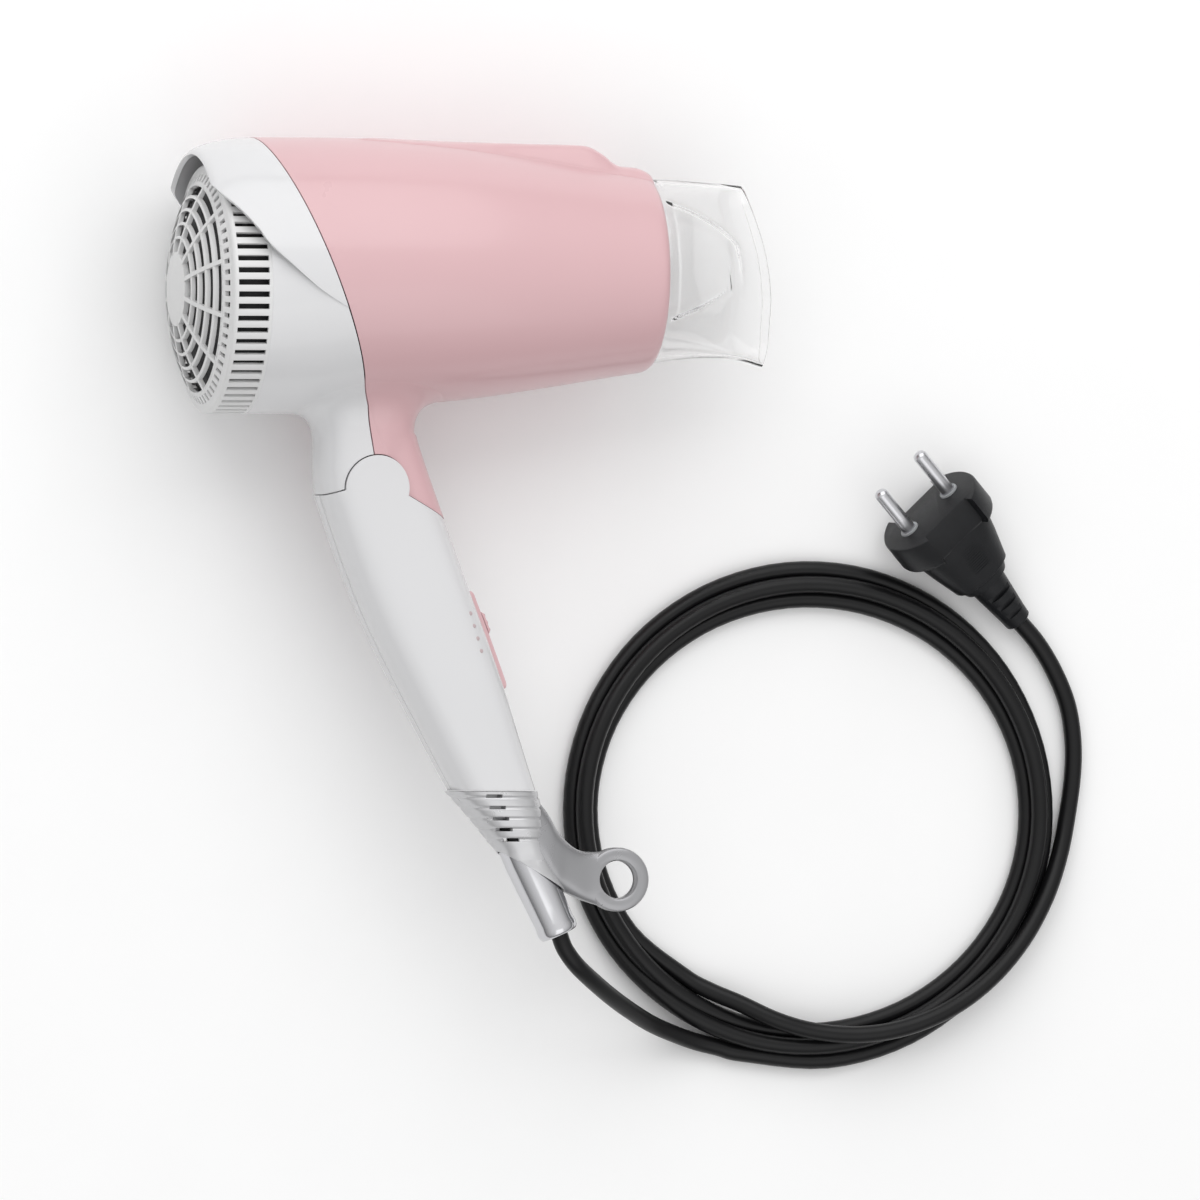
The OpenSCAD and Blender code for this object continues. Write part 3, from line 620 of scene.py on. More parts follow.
CREASE = [
    (-62, 103), (-59.5, 100), (-54.6, 95), (-48.6, 87.7), (-45.4, 82.9), (-38.2, 76.2),
    (-28.6, 67.9), (-22.2, 63.6), (-14, 59.0), (-6, 55.5),
]
HOOD_LINE = [
    (-61.5, 40.2), (-61.2, 41.0), (-60.4, 41.9), (-58, 43.1), (-54, 44.4), (-49, 45.4), (-44, 45.9),
    (-38, 46.0), (-14, 46.0),
]


def hood_skin():
    """The visor over the top of the grille, down to its slanting lower edge."""
    mesh = bmesh.new()
    rings = []
    for x in [-61.5, -61.4, -61.1, -60.6] + spaced(-60, -8, 56):
        r = float(curve_value(HOOD_LINE, x)[0])
        if x > -14:
            r = barrel_radius(x)
        crease = float(curve_value(CREASE, x)[0]) - AXIS_Y
        reach = math.acos(max(-0.95, min(0.95, crease / r)))
        rings.append([
            (x, AXIS_Y + r * math.cos(reach * t), r * math.sin(reach * t))
            for t in spaced(-1, 1, 96)
        ])
    grid(mesh, rings, closed=False)
    tidy(mesh, outward=False)
    return add_object("hood_skin", mesh)


def rear_body_skin():
    mesh = bmesh.new()
    rings = []
    for x in [SHELL_REAR_X, SHELL_REAR_X + 0.3] + spaced(-42, 14, 46):
        centre, radius, lowest = lower_body(x)
        rings.append([
            (x, centre + (radius if math.cos(a) > 0 else centre - lowest) * math.cos(a),
             radius * math.sin(a))
            for a in (2 * math.pi * k / 160 for k in range(160))
        ])
    grid(mesh, rings)
    tidy(mesh, outward=False)
    return add_object("rear_body_skin", mesh)


# ---------- head: neck ----------

EAR_R = 11.0
# The tongue that turns between the handle's ears: its radius and half thickness
TONGUE_R = 12.6
TONGUE_Z = 12.6
NECK_HALF = 14.9
NECK_REAR = [(-14, -15.4), (-5.5, -16.2), (5.5, -17.4), (14, -17.3), (30, -17.3)]
NECK_FRONT = [
    (-14, 27.2), (-10.9, 26.2), (0, 22.2), (10.9, 18.3), (17.7, 16.2), (24, 15.4), (34, 15.4),
]
NECK_POWER = 0.58
FILLET = 10.0
# The seam between the two halves of the neck is steeper than the one round the head
NECK_SEAM = (0.56, 0.17)
SEAM_TOP = [(-60, -3.4), (-19.2, -3.4), (-11, -0.7), (11, -2.7), (26, -11), (60, -11)]


def neck_half(x, y):
    """Half thickness of the neck: thinner in front, where the handle's sides pass as it folds."""
    ahead = math.degrees(math.atan2(y, x))
    if x < 0 and y < 0:
        ahead = 180
    return NECK_HALF - 0.2 + 1.8 * smooth((ahead - 52) / 34)


def neck_section(y, a):
    rear = float(curve_value(NECK_REAR, y)[0])
    front = float(curve_value(NECK_FRONT, y)[0])
    c, s = math.cos(a), math.sin(a)
    x = (rear + front) / 2 + (front - rear) / 2 * math.copysign(abs(c) ** NECK_POWER, c)
    return x, neck_half(x, y) * math.copysign(abs(s) ** NECK_POWER, s)


def neck_solid():
    """The neck, flaring smoothly into the body of the head."""
    mesh = bmesh.new()
    turns = [2 * math.pi * k / 96 for k in range(96)]
    columns = []
    for a in turns:
        x, z = neck_section(24, a)
        outward = Vector((math.copysign(abs(math.cos(a)) ** 1.2, math.cos(a)),
                          math.copysign(abs(math.sin(a)) ** 1.2, math.sin(a)))).normalized()
        end_x, end_z = x + outward.x * FILLET, z + outward.y * FILLET
        end_y = underside(end_x, end_z)
        step = 0.5
        slope = (end_y - underside(end_x - outward.x * step, end_z - outward.y * step)) / step
        corner_y = end_y - slope * FILLET
        start_y = corner_y - FILLET
        column = []
        for y in spaced(-14, start_y, 26)[:-1]:
            sx, sz = neck_section(y, a)
            column.append((sx, y, sz))
        for t in spaced(0, 1, 14):
            b = ((1 - t) ** 2, 2 * t * (1 - t), t**2)
            column.append((
                b[0] * x + b[1] * x + b[2] * end_x,
                b[0] * start_y + b[1] * corner_y + b[2] * end_y,
                b[0] * z + b[1] * z + b[2] * end_z,
            ))
        inner_x, inner_z = end_x + outward.x * 0.8, end_z + outward.y * 0.8
        column.append((inner_x, underside(inner_x, inner_z) + 0.6, inner_z))
        column.append((x * 0.8, 46, z * 0.8))
        columns.append(column)
    rings = [[column[i] for column in columns] for i in range(len(columns[0]))]
    grid(mesh, rings, cap_start=True, cap_end=True)
    tidy(mesh)
    return add_object("neck_solid", mesh)


def make_head():
    barrel = barrel_skin()
    hood = hood_skin()
    body = rear_body_skin()
    neck = neck_solid()

    below = [(x, y + 0.25) for x, y in SEAM_TOP] + [(60, -60), (-60, -60)]
    tools = [prism("seam_tool", below, -40, 40)]
    for side in (-1, 1):
        near, far = sorted((side * (TONGUE_Z - 0.05), side * 40))
        tools.append(disc("ear_tool", (0, 0), EAR_R + 0.4, near, far))
    cut(neck, tools)
    tongue = disc("tongue", (0, 0), TONGUE_R, 0.1 - TONGUE_Z, TONGUE_Z - 0.1)
    cut(neck, [tongue], "UNION")

    front_neck, wedge = duplicate(neck, "front_neck"), duplicate(neck, "wedge")
    gap = parting_normal * SEAM_GAP / 2 * MM
    halves = (
        (barrel, True), (front_neck, True), (hood, False), (body, False), (neck, False),
    )
    for obj, is_front in halves:
        point = parting_point + (gap if is_front else -gap)
        solid = obj in (neck, front_neck)
        split_by_plane(obj, point, parting_normal, is_front, fill=solid)
    wedge_end = parting_point + parting_normal * (SEAM_GAP / 2 + 0.01) * MM
    seam_point = at(NECK_SEAM[0], 0, 0)
    seam_normal = Vector((1, NECK_SEAM[1], 0)).normalized()
    gap = seam_normal * SEAM_GAP / 2 * MM
    split_by_plane(neck, seam_point - gap, seam_normal, False)
    split_by_plane(wedge, seam_point + gap, seam_normal, True)
    split_by_plane(wedge, wedge_end, parting_normal, False)
    for skin, wall, rim in ((barrel, 1.6, 0.22), (hood, 1.7, 0.5), (body, 1.6, 0.22)):
        thicken(skin, wall, rim, 3)
    for solid in (neck, front_neck):
        edge_round(solid, 0.22, 2, 50, bake=True)
    pink = join([barrel, front_neck, wedge])
    pink.name = "barrel_cover"
    white = join([hood, body, neck])
    white.name = "rear_cover"
    finish_piece(pink, "head", PINK, ["barrel_shell"], 32)
    finish_piece(white, "head", WHITE, ["rear_shell"], 32)


make_head()


# ---------- rear grille ----------

SLOTS = 64
SPOKES = 12
DOME_R = 80.0
DOME_EDGE = 40.2
RIM_X = -57.0
DOME_CENTRE = RIM_X + math.sqrt(DOME_R**2 - DOME_EDGE**2)


def dome_x(r, depth=0.0):
    return DOME_CENTRE - math.sqrt((DOME_R - depth) ** 2 - r * r)


def make_grille():
    # Side wall with long slots, rounded rim and a ring of small square holes
    mesh = bmesh.new()
    path = [(r, x) for r, x in zip([GRILLE_R] * 5, (-43.4, -44.6, -48.2, -52, -55.4))]
    path += [(42.3, -56.2), (41.9, -56.8), (41.2, -57.1)]
    path += [(r, dome_x(r)) for r in (DOME_EDGE, 39.0, 36.6, 35.4)]
    slot_rows = (1, 2, 3)
    hole_row = 9
    rings = []
    for r, x in path:
        ring = []
        for k in range(SLOTS):
            for part in (0.0, 0.27, 0.73):
                a = 2 * math.pi * (k + part) / SLOTS
                ring.append((x, GRILLE_Y + r * math.cos(a), r * math.sin(a)))
        rings.append(ring)

    def keep(i, j):
        return not (j % 3 == 1 and (i in slot_rows or i == hole_row))

    grid(mesh, rings, keep=keep)
    tidy(mesh, outward=False)
    side = add_object("grille_side", mesh)
    thicken(side, -1.5)
    # Web of rings and spokes on the domed face
    mesh = bmesh.new()

    def band(inner, outer, depth, steps):
        radii = spaced(inner, outer, steps)
        profile = [(r, dome_x(r)) for r in radii] + [(r, dome_x(r, depth)) for r in radii[::-1]]
        lathe(mesh, profile, lambda r, x, a: barrel_axis_point(r, x, a, GRILLE_Y), 192)

    band(0.01, 12.6, 1.8, 8)
    for r in (17.6, 22.3, 27.0, 31.4):
        band(r - 0.5, r + 0.5, 1.3, 1)
    band(35.2, 36.1, 1.6, 1)
    spoke_half = 0.75
    for k in range(SPOKES):
        a = 2 * math.pi * (k + 0.5) / SPOKES
        out = (math.cos(a), math.sin(a))
        rings = []
        for r in spaced(12, 35.8, 8):
            ring = []
            for side_way, depth in ((-1, 0), (1, 0), (1, 1.5), (-1, 1.5)):
                ring.append((
                    dome_x(r, depth) - 0.12,
                    GRILLE_Y + r * out[0] - side_way * spoke_half * out[1],
                    r * out[1] + side_way * spoke_half * out[0],
                ))
            rings.append(ring)
        grid(mesh, rings, cap_start=True, cap_end=True)
    tidy(mesh)
    web = add_object("grille_web", mesh)
    edge_round(side, 0.18, 2, 50, bake=True)
    whole = join([side, web])
    whole.name = "grille_cover"
    finish_piece(whole, "head", WHITE_GRILLE, ["rear_grille"], 40)


make_grille()


def make_filter():
    """The woven filter: a dark cup just inside the grille."""
    mesh = bmesh.new()
    face = [(r, dome_x(r) + 3.4) for r in (0.01, 8, 16, 24, 30, 34, 36.4)]
    profile = face + [(37.6, -54.2), (37.9, -53), (37.9, -43.3)]
    lathe(mesh, profile, lambda r, x, a: barrel_axis_point(r, x, a, GRILLE_Y), 96, False)
    tidy(mesh, outward=False)
    cup = add_object("filter_cup", mesh)
    thicken(cup, 0.4)
    finish_piece(cup, "head", FILTER, ["lint_filter"])


make_filter()


# ---------- handle ----------

LEAN = math.radians(22)
HANDLE_HALF = 17.0
HANDLE_END = -103.0
# Down the handle: place, rear edge, front edge, half thickness
STATIONS = [
    (-16, -15.6, 17.6, 17.0), (2, -16.7, 19.0, 17.0), (18, -17.5, 19.5, 17.0),
    (34, -17.7, 19.2, 17.0), (50, -17.0, 18.9, 16.9), (66, -15.6, 18.6, 16.5),
    (82, -13.8, 18.0, 15.8), (98, -12.0, 16.8, 14.8), (112, -10.2, 15.8, 13.8),
    (128, -8.2, 14.8, 12.8),
]


def handle_point(s, q, z):
    return (
        s * math.sin(LEAN) + q * math.cos(LEAN),
        -s * math.cos(LEAN) + q * math.sin(LEAN),
        z,
    )


def handle_power(s):
    """How boxy the handle's section is: a little rounder lower down."""
    return 0.56 + 0.08 * smooth((s - 8) / 95)


def handle_section(s, inset, n=128):
    rear, front, half = curve_value(STATIONS, s)
    power = handle_power(s)
    ring = []
    for k in range(n):
        a = 2 * math.pi * k / n
        c, d = math.cos(a), math.sin(a)
        q = (rear + front) / 2 + ((front - rear) / 2 - inset) * math.copysign(abs(c) ** power, c)
        z = (half - inset) * math.copysign(abs(d) ** power, d)
        ring.append(handle_point(s, q, z))
    return ring


def handle_skin(name, inset, s0, s1, steps):
    mesh = bmesh.new()
    rings = [handle_section(s, inset) for s in spaced(s0, s1, steps)]
    grid(mesh, rings, cap_start=True, cap_end=True)
    tidy(mesh)
    return add_object(name, mesh)


SWITCH_S, SWITCH_Q = 66.0, 20.0
# Handle screws: place down and across the handle, and the height of their seats
SCREWS = [(44, -9.5), (92, 0.5)]
SCREW_SEAT = -13.6


def front_point(x, y, z):
    """Millimetres in a frame on the handle's front: x down the handle, y out of its front."""
    p = handle_point(SWITCH_S + x, SWITCH_Q + y, z)
    return at(*p)


def switch_slot():
    """Tool for the slot that the switch's stem slides in."""
    slot = bmesh.new()
    box_in(slot, (-10.2, -8, -2.6), (18, 14, 5.2), front_point)
    tidy(slot)
    return add_object("slot_tool", slot)


def make_handle_screws():
    parts = []
    for s, q in SCREWS:
        place = handle_point(s, q, 0)[:2]
        head = disc("head", place, 2.2, SCREW_SEAT - 1.3, SCREW_SEAT, 48)
        cross = bmesh.new()
        for dx, dy in ((1.3, 0.25), (0.25, 1.3)):
            box_in(cross, (place[0] - dx, place[1] - dy, SCREW_SEAT - 2), (2 * dx, 2 * dy, 1.6), at)
        tidy(cross)
        cut(head, [add_object("cross", cross)])
        parts += [head, disc("shank", place, 1.1, SCREW_SEAT, 8, 32)]
    screws = join(parts)
    screws.name = "case_screws"
    finish_piece(screws, "handle", STEEL, ["handle_screws"], 40)


def make_handle():
    handle = handle_skin("handle_whole", 0.0, -16, 128, 72)
    inner = handle_skin("handle_inner", 1.8, -18, 130, 40)
    above = [(x, y - 0.2) for x, y in SEAM_TOP[::-1]]
    ear = [
        (EAR_R * math.cos(a), EAR_R * math.sin(a))
        for a in spaced(math.radians(-14.5), math.radians(184), 48)
    ]
    # Over the seam, round the ear and back
    outline = (
        [(60, 60), (-60, 60)]
        + above[::-1][:2]
        + [above[3]]
        + ear[::-1]
        + [above[1]]
        + above[:1]
    )
    tools = [inner, prism("seam_tool", outline, -40, 40)]
    end = [(-60, HANDLE_END), (120, HANDLE_END), (120, -200), (-60, -200)]
    tools.append(prism("end_tool", end, -40, 40))
    ear_inner = TONGUE_Z + 0.35
    tools.append(disc("tongue_room", (0, 0), TONGUE_R + 0.4, -ear_inner, ear_inner))
    for s, q in SCREWS:
        tools.append(disc("recess", handle_point(s, q, 0)[:2], 2.6, -20, SCREW_SEAT, 48))
    cut(handle, tools)
    # Ear discs close the shell's wall beside the tongue
    ear_outer = HANDLE_HALF - 0.35
    for z0, z1 in ((-ear_outer, -ear_inner), (ear_inner, ear_outer)):
        piece = disc("ear_disc", (0, 0), EAR_R - 0.02, z0, z1)
        cut(piece, [handle_skin("ear_limit", 0.06, -16, 128, 72)], "INTERSECT")
        cut(handle, [piece], "UNION")
    cut(handle, [switch_slot()])

    right = duplicate(handle, "handle_right")
    for obj, side in ((handle, 1), (right, -1)):
        point = HINGE + Vector((0, 0, side * 0.08 * MM))
        split_by_plane(obj, point, Vector((0, 0, 1)), side > 0)
        edge_round(obj, 0.25, 2, 50, bake=True)
    handle.name = "handle_left"
    finish_piece(handle, "handle", WHITE, ["handle_shell_left"], 32)
    finish_piece(right, "handle", WHITE, ["handle_shell_right"], 32)


make_handle()
make_handle_screws()


# ---------- switch and marks ----------


def strip(name, x0, x1, half, low, high, body, surface, nodes, ribs=0):
    """A curved pad on the handle's front, following its surface."""
    mesh = bmesh.new()
    rings = []
    steps = 60
    for x in spaced(x0, x1, steps):
        s = SWITCH_S + x
        rear, front, _ = curve_value(STATIONS, s)
        base = front - SWITCH_Q
        end = min(x - x0, x1 - x)
        round_end = math.sqrt(max(0.0, 1 - (1 - min(1.0, end / 2.2)) ** 2))
        crest = low + (high - low) * (0.25 + 0.75 * round_end)
        if ribs:
            crest += 0.35 * max(0.0, math.sin(math.pi * ribs * (x - x0) / (x1 - x0)) ** 2 - 0.3)
        across = half * (0.8 + 0.2 * round_end)
        ring = [(x, base + low, -across), (x, base + crest * 0.75, -across)]
        for t in spaced(-0.92, 0.92, 12):
            ring.append((x, base + crest - 0.45 * t * t, across * t))
        ring += [(x, base + crest * 0.75, across), (x, base + low, across)]
        rings.append(ring)
    grid(mesh, rings, place=front_point, cap_start=True, cap_end=True)
    tidy(mesh)
    return finish_piece(add_object(name, mesh), body, surface, nodes, 50)


def make_switch():
    plate = strip(
        "switch_frame", -20.5, 15.5, 5.2, -0.6, 1.9, "handle", PINK,
        ["switch_plate"],
    )
    cut(plate, [switch_slot()])
    shade(plate, PINK, 50)
    button = strip("switch_button", -12, -4, 3.9, 1.95, 3.1, "switch", PINK, [], 3)
    stem = bmesh.new()
    box_in(stem, (-9.6, -4.3, -2.0), (3, 5.2, 4.0), front_point)
    tidy(stem)
    stem = add_object("stem", stem)
    shade(stem, PINK)
    whole = join([button, stem])
    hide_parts("slide_button")
    marks = bmesh.new()
    for k in range(4):
        s = SWITCH_S - 14 + 4.4 * k
        rear, front, half = curve_value(STATIONS, s)
        q = 14.4 - 0.45 * k
        share = (q - (rear + front) / 2) / ((front - rear) / 2)
        power = handle_power(s)
        height = half * (1 - abs(share) ** (2 / power)) ** (power / 2)
        centre = handle_point(s, q, height)
        bmesh.ops.create_uvsphere(
            marks, u_segments=20, v_segments=10, radius=0.75 * MM,
            matrix=Matrix.Translation(at(*centre)) @ Matrix.Diagonal((1, 1, 0.35, 1)),
        )
    finish_piece(add_object("marks", marks), "handle", MARK, ["position_marks"])


make_switch()


# ---------- collar, hang loop and sleeve ----------

RING = (88.1, -133.4)
RING_R, RING_HOLE = 10.9, 6.4
SLEEVE_LEAN = math.radians(25)
SLEEVE_END = (68.0, -151.9)
SLEEVE_L = 30.0
COLLAR_SLOTS = [(41.5, -104.9), (42.9, -108.8), (44.3, -112.6), (45.7, -116.3), (48.4, -119.8)]
# Down the collar: y, left edge, right edge, half thickness
COLLAR = [
    (-126.8, 47.8, 64.4, 7.9), (-124, 46.3, 63.4, 8.2), (-119.5, 42.4, 62.2, 9.4),
    (-115.7, 39.4, 62.0, 10.6), (-109.6, 34.2, 61.0, 11.9), (-103.3, 28.3, 59.4, 12.8),
]


def sleeve_point(r, d, a):
    """A point r from the sleeve's axis and d along it, from its upper end."""
    down = Vector((math.sin(SLEEVE_LEAN), -math.cos(SLEEVE_LEAN), 0))
    side = Vector((math.cos(SLEEVE_LEAN), math.sin(SLEEVE_LEAN), 0))
    top = Vector((*SLEEVE_END, 0)) - down * SLEEVE_L
    p = top + down * d + side * r * math.cos(a) + Vector((0, 0, 1)) * r * math.sin(a)
    return at(*p)


def sleeve_bore():
    """Tool for the hole that the sleeve fits in."""
    bore = bmesh.new()
    lathe(bore, [(0.01, -14), (7.75, -14), (7.75, 40), (0.01, 40)], sleeve_point, 64)
    tidy(bore)
    return add_object("bore", bore)


def make_collar():
    mesh = bmesh.new()
    rings = []
    for y in spaced(-103.3, -126.8, 94):
        left, right, half = curve_value(COLLAR, y)
        # Fine grooves all round
        phase = (-103.6 - y) / 3.55
        groove = 0.0
        if 0.3 < phase < 5.3:
            groove = math.exp(-(((phase % 1.0) - 0.5) / 0.13) ** 2)
        ring = []
        for k in range(120):
            a = 2 * math.pi * k / 120
            c, s = math.cos(a), math.sin(a)
            inset = 0.4 * groove
            rx, rz = (right - left) / 2 - inset * abs(c), half - inset
            ring.append((
                (left + right) / 2 + rx * math.copysign(abs(c) ** 0.75, c),
                y,
                rz * math.copysign(abs(s) ** 0.75, s),
            ))
        rings.append(ring)
    # Down over the top of the sleeve
    for d, r in ((4.0, 8.4), (8, 8.3), (13, 8.2), (18, 8.1)):
        ring = []
        for k in range(120):
            p = (sleeve_point(r, d, 2 * math.pi * k / 120) - HINGE) / MM
            ring.append(tuple(p))
        rings.append(ring)
    grid(mesh, rings, cap_start=True, cap_end=True)
    tidy(mesh)
    collar = add_object("collar", mesh)
    oblique = prism("oblique", [(40, -120.2), (72, -138.7), (80, -170), (40, -170)], -30, 30)
    tools = [oblique, sleeve_bore()]
    for x, y in COLLAR_SLOTS:
        slot = bmesh.new()
        for side in (-1, 1):
            box_in(slot, (x - 2.4, y - 0.6, side * 10 - 4.5), (5.6, 1.2, 9), at)
        tidy(slot)
        tools.append(add_object("slot", slot))
    cut(collar, tools)
    edge_round(collar, 0.3, 2, 50, bake=True)
    return collar


# Along the arm: upper edge x and y, lower edge x and y, half thickness
ARM = [
    (58, -104.5, 50, -118, 8.6), (63, -110.8, 60.2, -129.6, 7.8), (66.3, -116.2, 64.8, -134.4, 6.8),
    (70.3, -120.6, 68.5, -137, 5.5), (74.5, -123.3, 74, -139.8, 4.3), (79, -124, 78.6, -141.4, 3.4),
    (84, -123.7, 84, -143, 2.9),
]


def make_arm():
    """The arm from the collar to the hanging ring, thinner towards the ring."""
    knots = [(k, *row) for k, row in enumerate(ARM)]
    mesh = bmesh.new()
    rings = []
    for t in spaced(0, len(ARM) - 1, 48):
        ux, uy, lx, ly, half = curve_value(knots, t)
        ring = []
        for k in range(64):
            a = 2 * math.pi * k / 64
            c = math.copysign(abs(math.cos(a)) ** 0.6, math.cos(a))
            d = math.copysign(abs(math.sin(a)) ** 0.6, math.sin(a))
            ring.append(((ux + lx + (ux - lx) * c) / 2, (uy + ly + (uy - ly) * c) / 2, half * d))
        rings.append(ring)
    grid(mesh, rings, cap_start=True, cap_end=True)
    tidy(mesh)
    arm = add_object("arm", mesh)
    cut(arm, [disc("hole", RING, RING_HOLE + 0.3, -20, 20), sleeve_bore()])
    mesh = bmesh.new()
    half = [
        (RING_HOLE, 0), (RING_HOLE, 2.1), (6.8, 2.75), (7.5, 3), (9.8, 3), (10.5, 2.7),
        (RING_R, 2),
    ]
    lathe(
        mesh, half + [(r, -z) for r, z in half[:0:-1]],
        lambda r, z, a: at(RING[0] + r * math.cos(a), RING[1] + r * math.sin(a), z), 96,
    )
    tidy(mesh)
    return join([arm, add_object("ring", mesh)])


def make_loop():
    arm = make_arm()
    arm.name = "hang_arm"
    finish_piece(make_collar(), "handle", BRIGHT, ["hang_loop"], 35)
    finish_piece(arm, "handle", SILVER, ["hang_loop"], 35)


make_loop()


def make_sleeve():
    mesh = bmesh.new()
    profile = [
        (4.0, -4), (7.4, -4), (7.6, 2), (7.4, 10), (7.0, 20), (6.75, 25.4), (6.8, 26.2), (7.0, 27),
        (7.0, 28.2), (6.8, 29.2), (6.3, 29.9), (5.6, 30.1), (5.0, 29.7), (4.7, 28.6), (4.6, 20),
        (4.0, 18),
    ]
    lathe(mesh, profile, sleeve_point, 96)
    tidy(mesh)
    sleeve = add_object("sleeve", mesh)
    finish_piece(sleeve, "handle", CHROME, ["cord_sleeve"], 60)
    mesh = bmesh.new()
    lathe(mesh, [(3.05, 21), (4.5, 21), (4.5, 28.4), (4.1, 29.2), (3.05, 29.4)], sleeve_point, 64)
    tidy(mesh)
    grommet = add_object("grommet", mesh)
    finish_piece(grommet, "handle", RUBBER, ["cord_grommet"], 40)


make_sleeve()


# ---------- nozzle ----------

NOZZLE_R = 30.9
MOUTH_HALF_H = 6.5
MOUTH_EDGE = [
    (-31, 139.0), (-25, 140.0), (-19, 140.4), (-8.2, 141.1), (0.4, 140.4), (8, 138.9), (16, 136.5),
    (24, 133.7), (31, 131.2),
]
NOZZLE_START = 99.2
# Edges of the nozzle from its sleeve to its mouth: share of the way, upper, lower
NOZZLE_EDGES = [
    (0, 30.9, -30.9), (0.05, 32.0, -30.4), (0.25, 31.9, -29.4), (0.5, 31.4, -28.8),
    (0.8, 30.7, -29.6), (1, 30.0, -31.8),
]
TONGUE_APEX = 131.5
TONGUE_MIDDLE = 4.0
TONGUE_HALF = 21.0
TONGUE_RISE = 2.2
TONGUE_EDGE = 2.0


def nozzle_point(u, a):
    """A point on the nozzle's outside: u from its round sleeve to its mouth, a round it."""
    c, s = math.cos(a), math.sin(a)
    flat = smooth(u * 1.25)
    power = 1.0 - 0.62 * flat
    upper, lower = curve_value(NOZZLE_EDGES, u)
    y = (upper + lower) / 2 + (upper - lower) / 2 * math.copysign(abs(c) ** power, c)
    half = NOZZLE_R + (MOUTH_HALF_H - NOZZLE_R) * smooth(u * 1.08) ** 0.85
    z = half * math.copysign(abs(s) ** (1.0 - 0.35 * flat), s)
    mouth = float(curve_value(MOUTH_EDGE, y)[0])
    x = NOZZLE_START + (mouth - NOZZLE_START) * u
    # Tongue: a raised area on both sides, with a rounded edge that curves round to an apex
    if u > 0.02:
        reach = TONGUE_HALF * math.sqrt(max(0.0, (TONGUE_APEX - x) / (TONGUE_APEX - NOZZLE_START)))
        inside = reach - abs(y - TONGUE_MIDDLE)
        ends = smooth(u / 0.08) * smooth((TONGUE_APEX + 1 - x) / 5)
        rise = TONGUE_RISE * smooth(inside / TONGUE_EDGE + 0.5) * ends
        z += math.copysign(rise, s) * min(1.0, abs(s) * 3)
    return x, AXIS_Y + y, z


def make_nozzle():
    mesh = bmesh.new()
    angles = [2 * math.pi * k / 240 for k in range(240)]
    rings = []
    for x in (88.5, 91, 91.2, 93.2, 93.4, 97):
        r = NOZZLE_R - (0.8 if 91.1 < x < 93.3 else 0)
        rings.append([(x, AXIS_Y + r * math.cos(a), r * math.sin(a)) for a in angles])
    for u in spaced(0.0, 1.0, 70):
        rings.append([nozzle_point(u, a) for a in angles])
    grid(mesh, rings)
    tidy(mesh, outward=False)
    nozzle = add_object("nozzle_clear", mesh)
    thicken(nozzle, 1.3, 0.3, 3, 50)
    finish_piece(nozzle, "nozzle", CLEAR, ["nozzle"], 40)


make_nozzle()


# ---------- plug ----------

PLUG_END = Vector((204.9, -27.2, 5.2))
PLUG_TILT = math.radians(16)
PLUG_AZIMUTH = math.radians(133.6)
PLUG_L = 54.0
PIN_L, PIN_R, PIN_APART = 19.0, 2.4, 19.0
# The head: its radius, the distance to its flats, and half the width of a flat
HEAD_R, HEAD_FLAT, HEAD_EAR = 19.2, 12.2, 10.6

plug_turn = (
    Matrix.Rotation(PLUG_AZIMUTH, 3, "Z") @ Matrix.Rotation(math.pi / 2 - PLUG_TILT, 3, "Y")
)


def plug_point(x, y, z):
    """Millimetres in the plug's own frame: z from the cord to the pins, y from pin to pin."""
    return in_row(*(PLUG_END + plug_turn @ Vector((x, y, z))))


def rounded_ring(half_x, half_y, z, power, n=96):
    ring = []
    for k in range(n):
        a = 2 * math.pi * k / n
        c, s = math.cos(a), math.sin(a)
        ring.append((
            half_x * math.copysign(abs(c) ** power, c),
            half_y * math.copysign(abs(s) ** power, s),
            z,
        ))
    return ring


def plug_outline():
    """Outline of the plug's head: a circle with a wide flat on both sides between its ears."""
    points = []
    for k in range(128):
        a = 2 * math.pi * k / 128
        x, y = HEAD_R * math.cos(a), HEAD_R * math.sin(a)
        if abs(y) < HEAD_EAR:
            x = math.copysign(min(abs(x), HEAD_FLAT), x)
        points.append((x, y))
    return points


def turn_pin(mesh, profile):
    """Turns a profile about each pin's axis, from the plug's face."""
    for side in (-1, 1):
        middle = side * PIN_APART / 2
        lathe(
            mesh, profile,
            lambda r, d, a: plug_point(r * math.cos(a), middle + r * math.sin(a), PLUG_L + d), 48,
        )


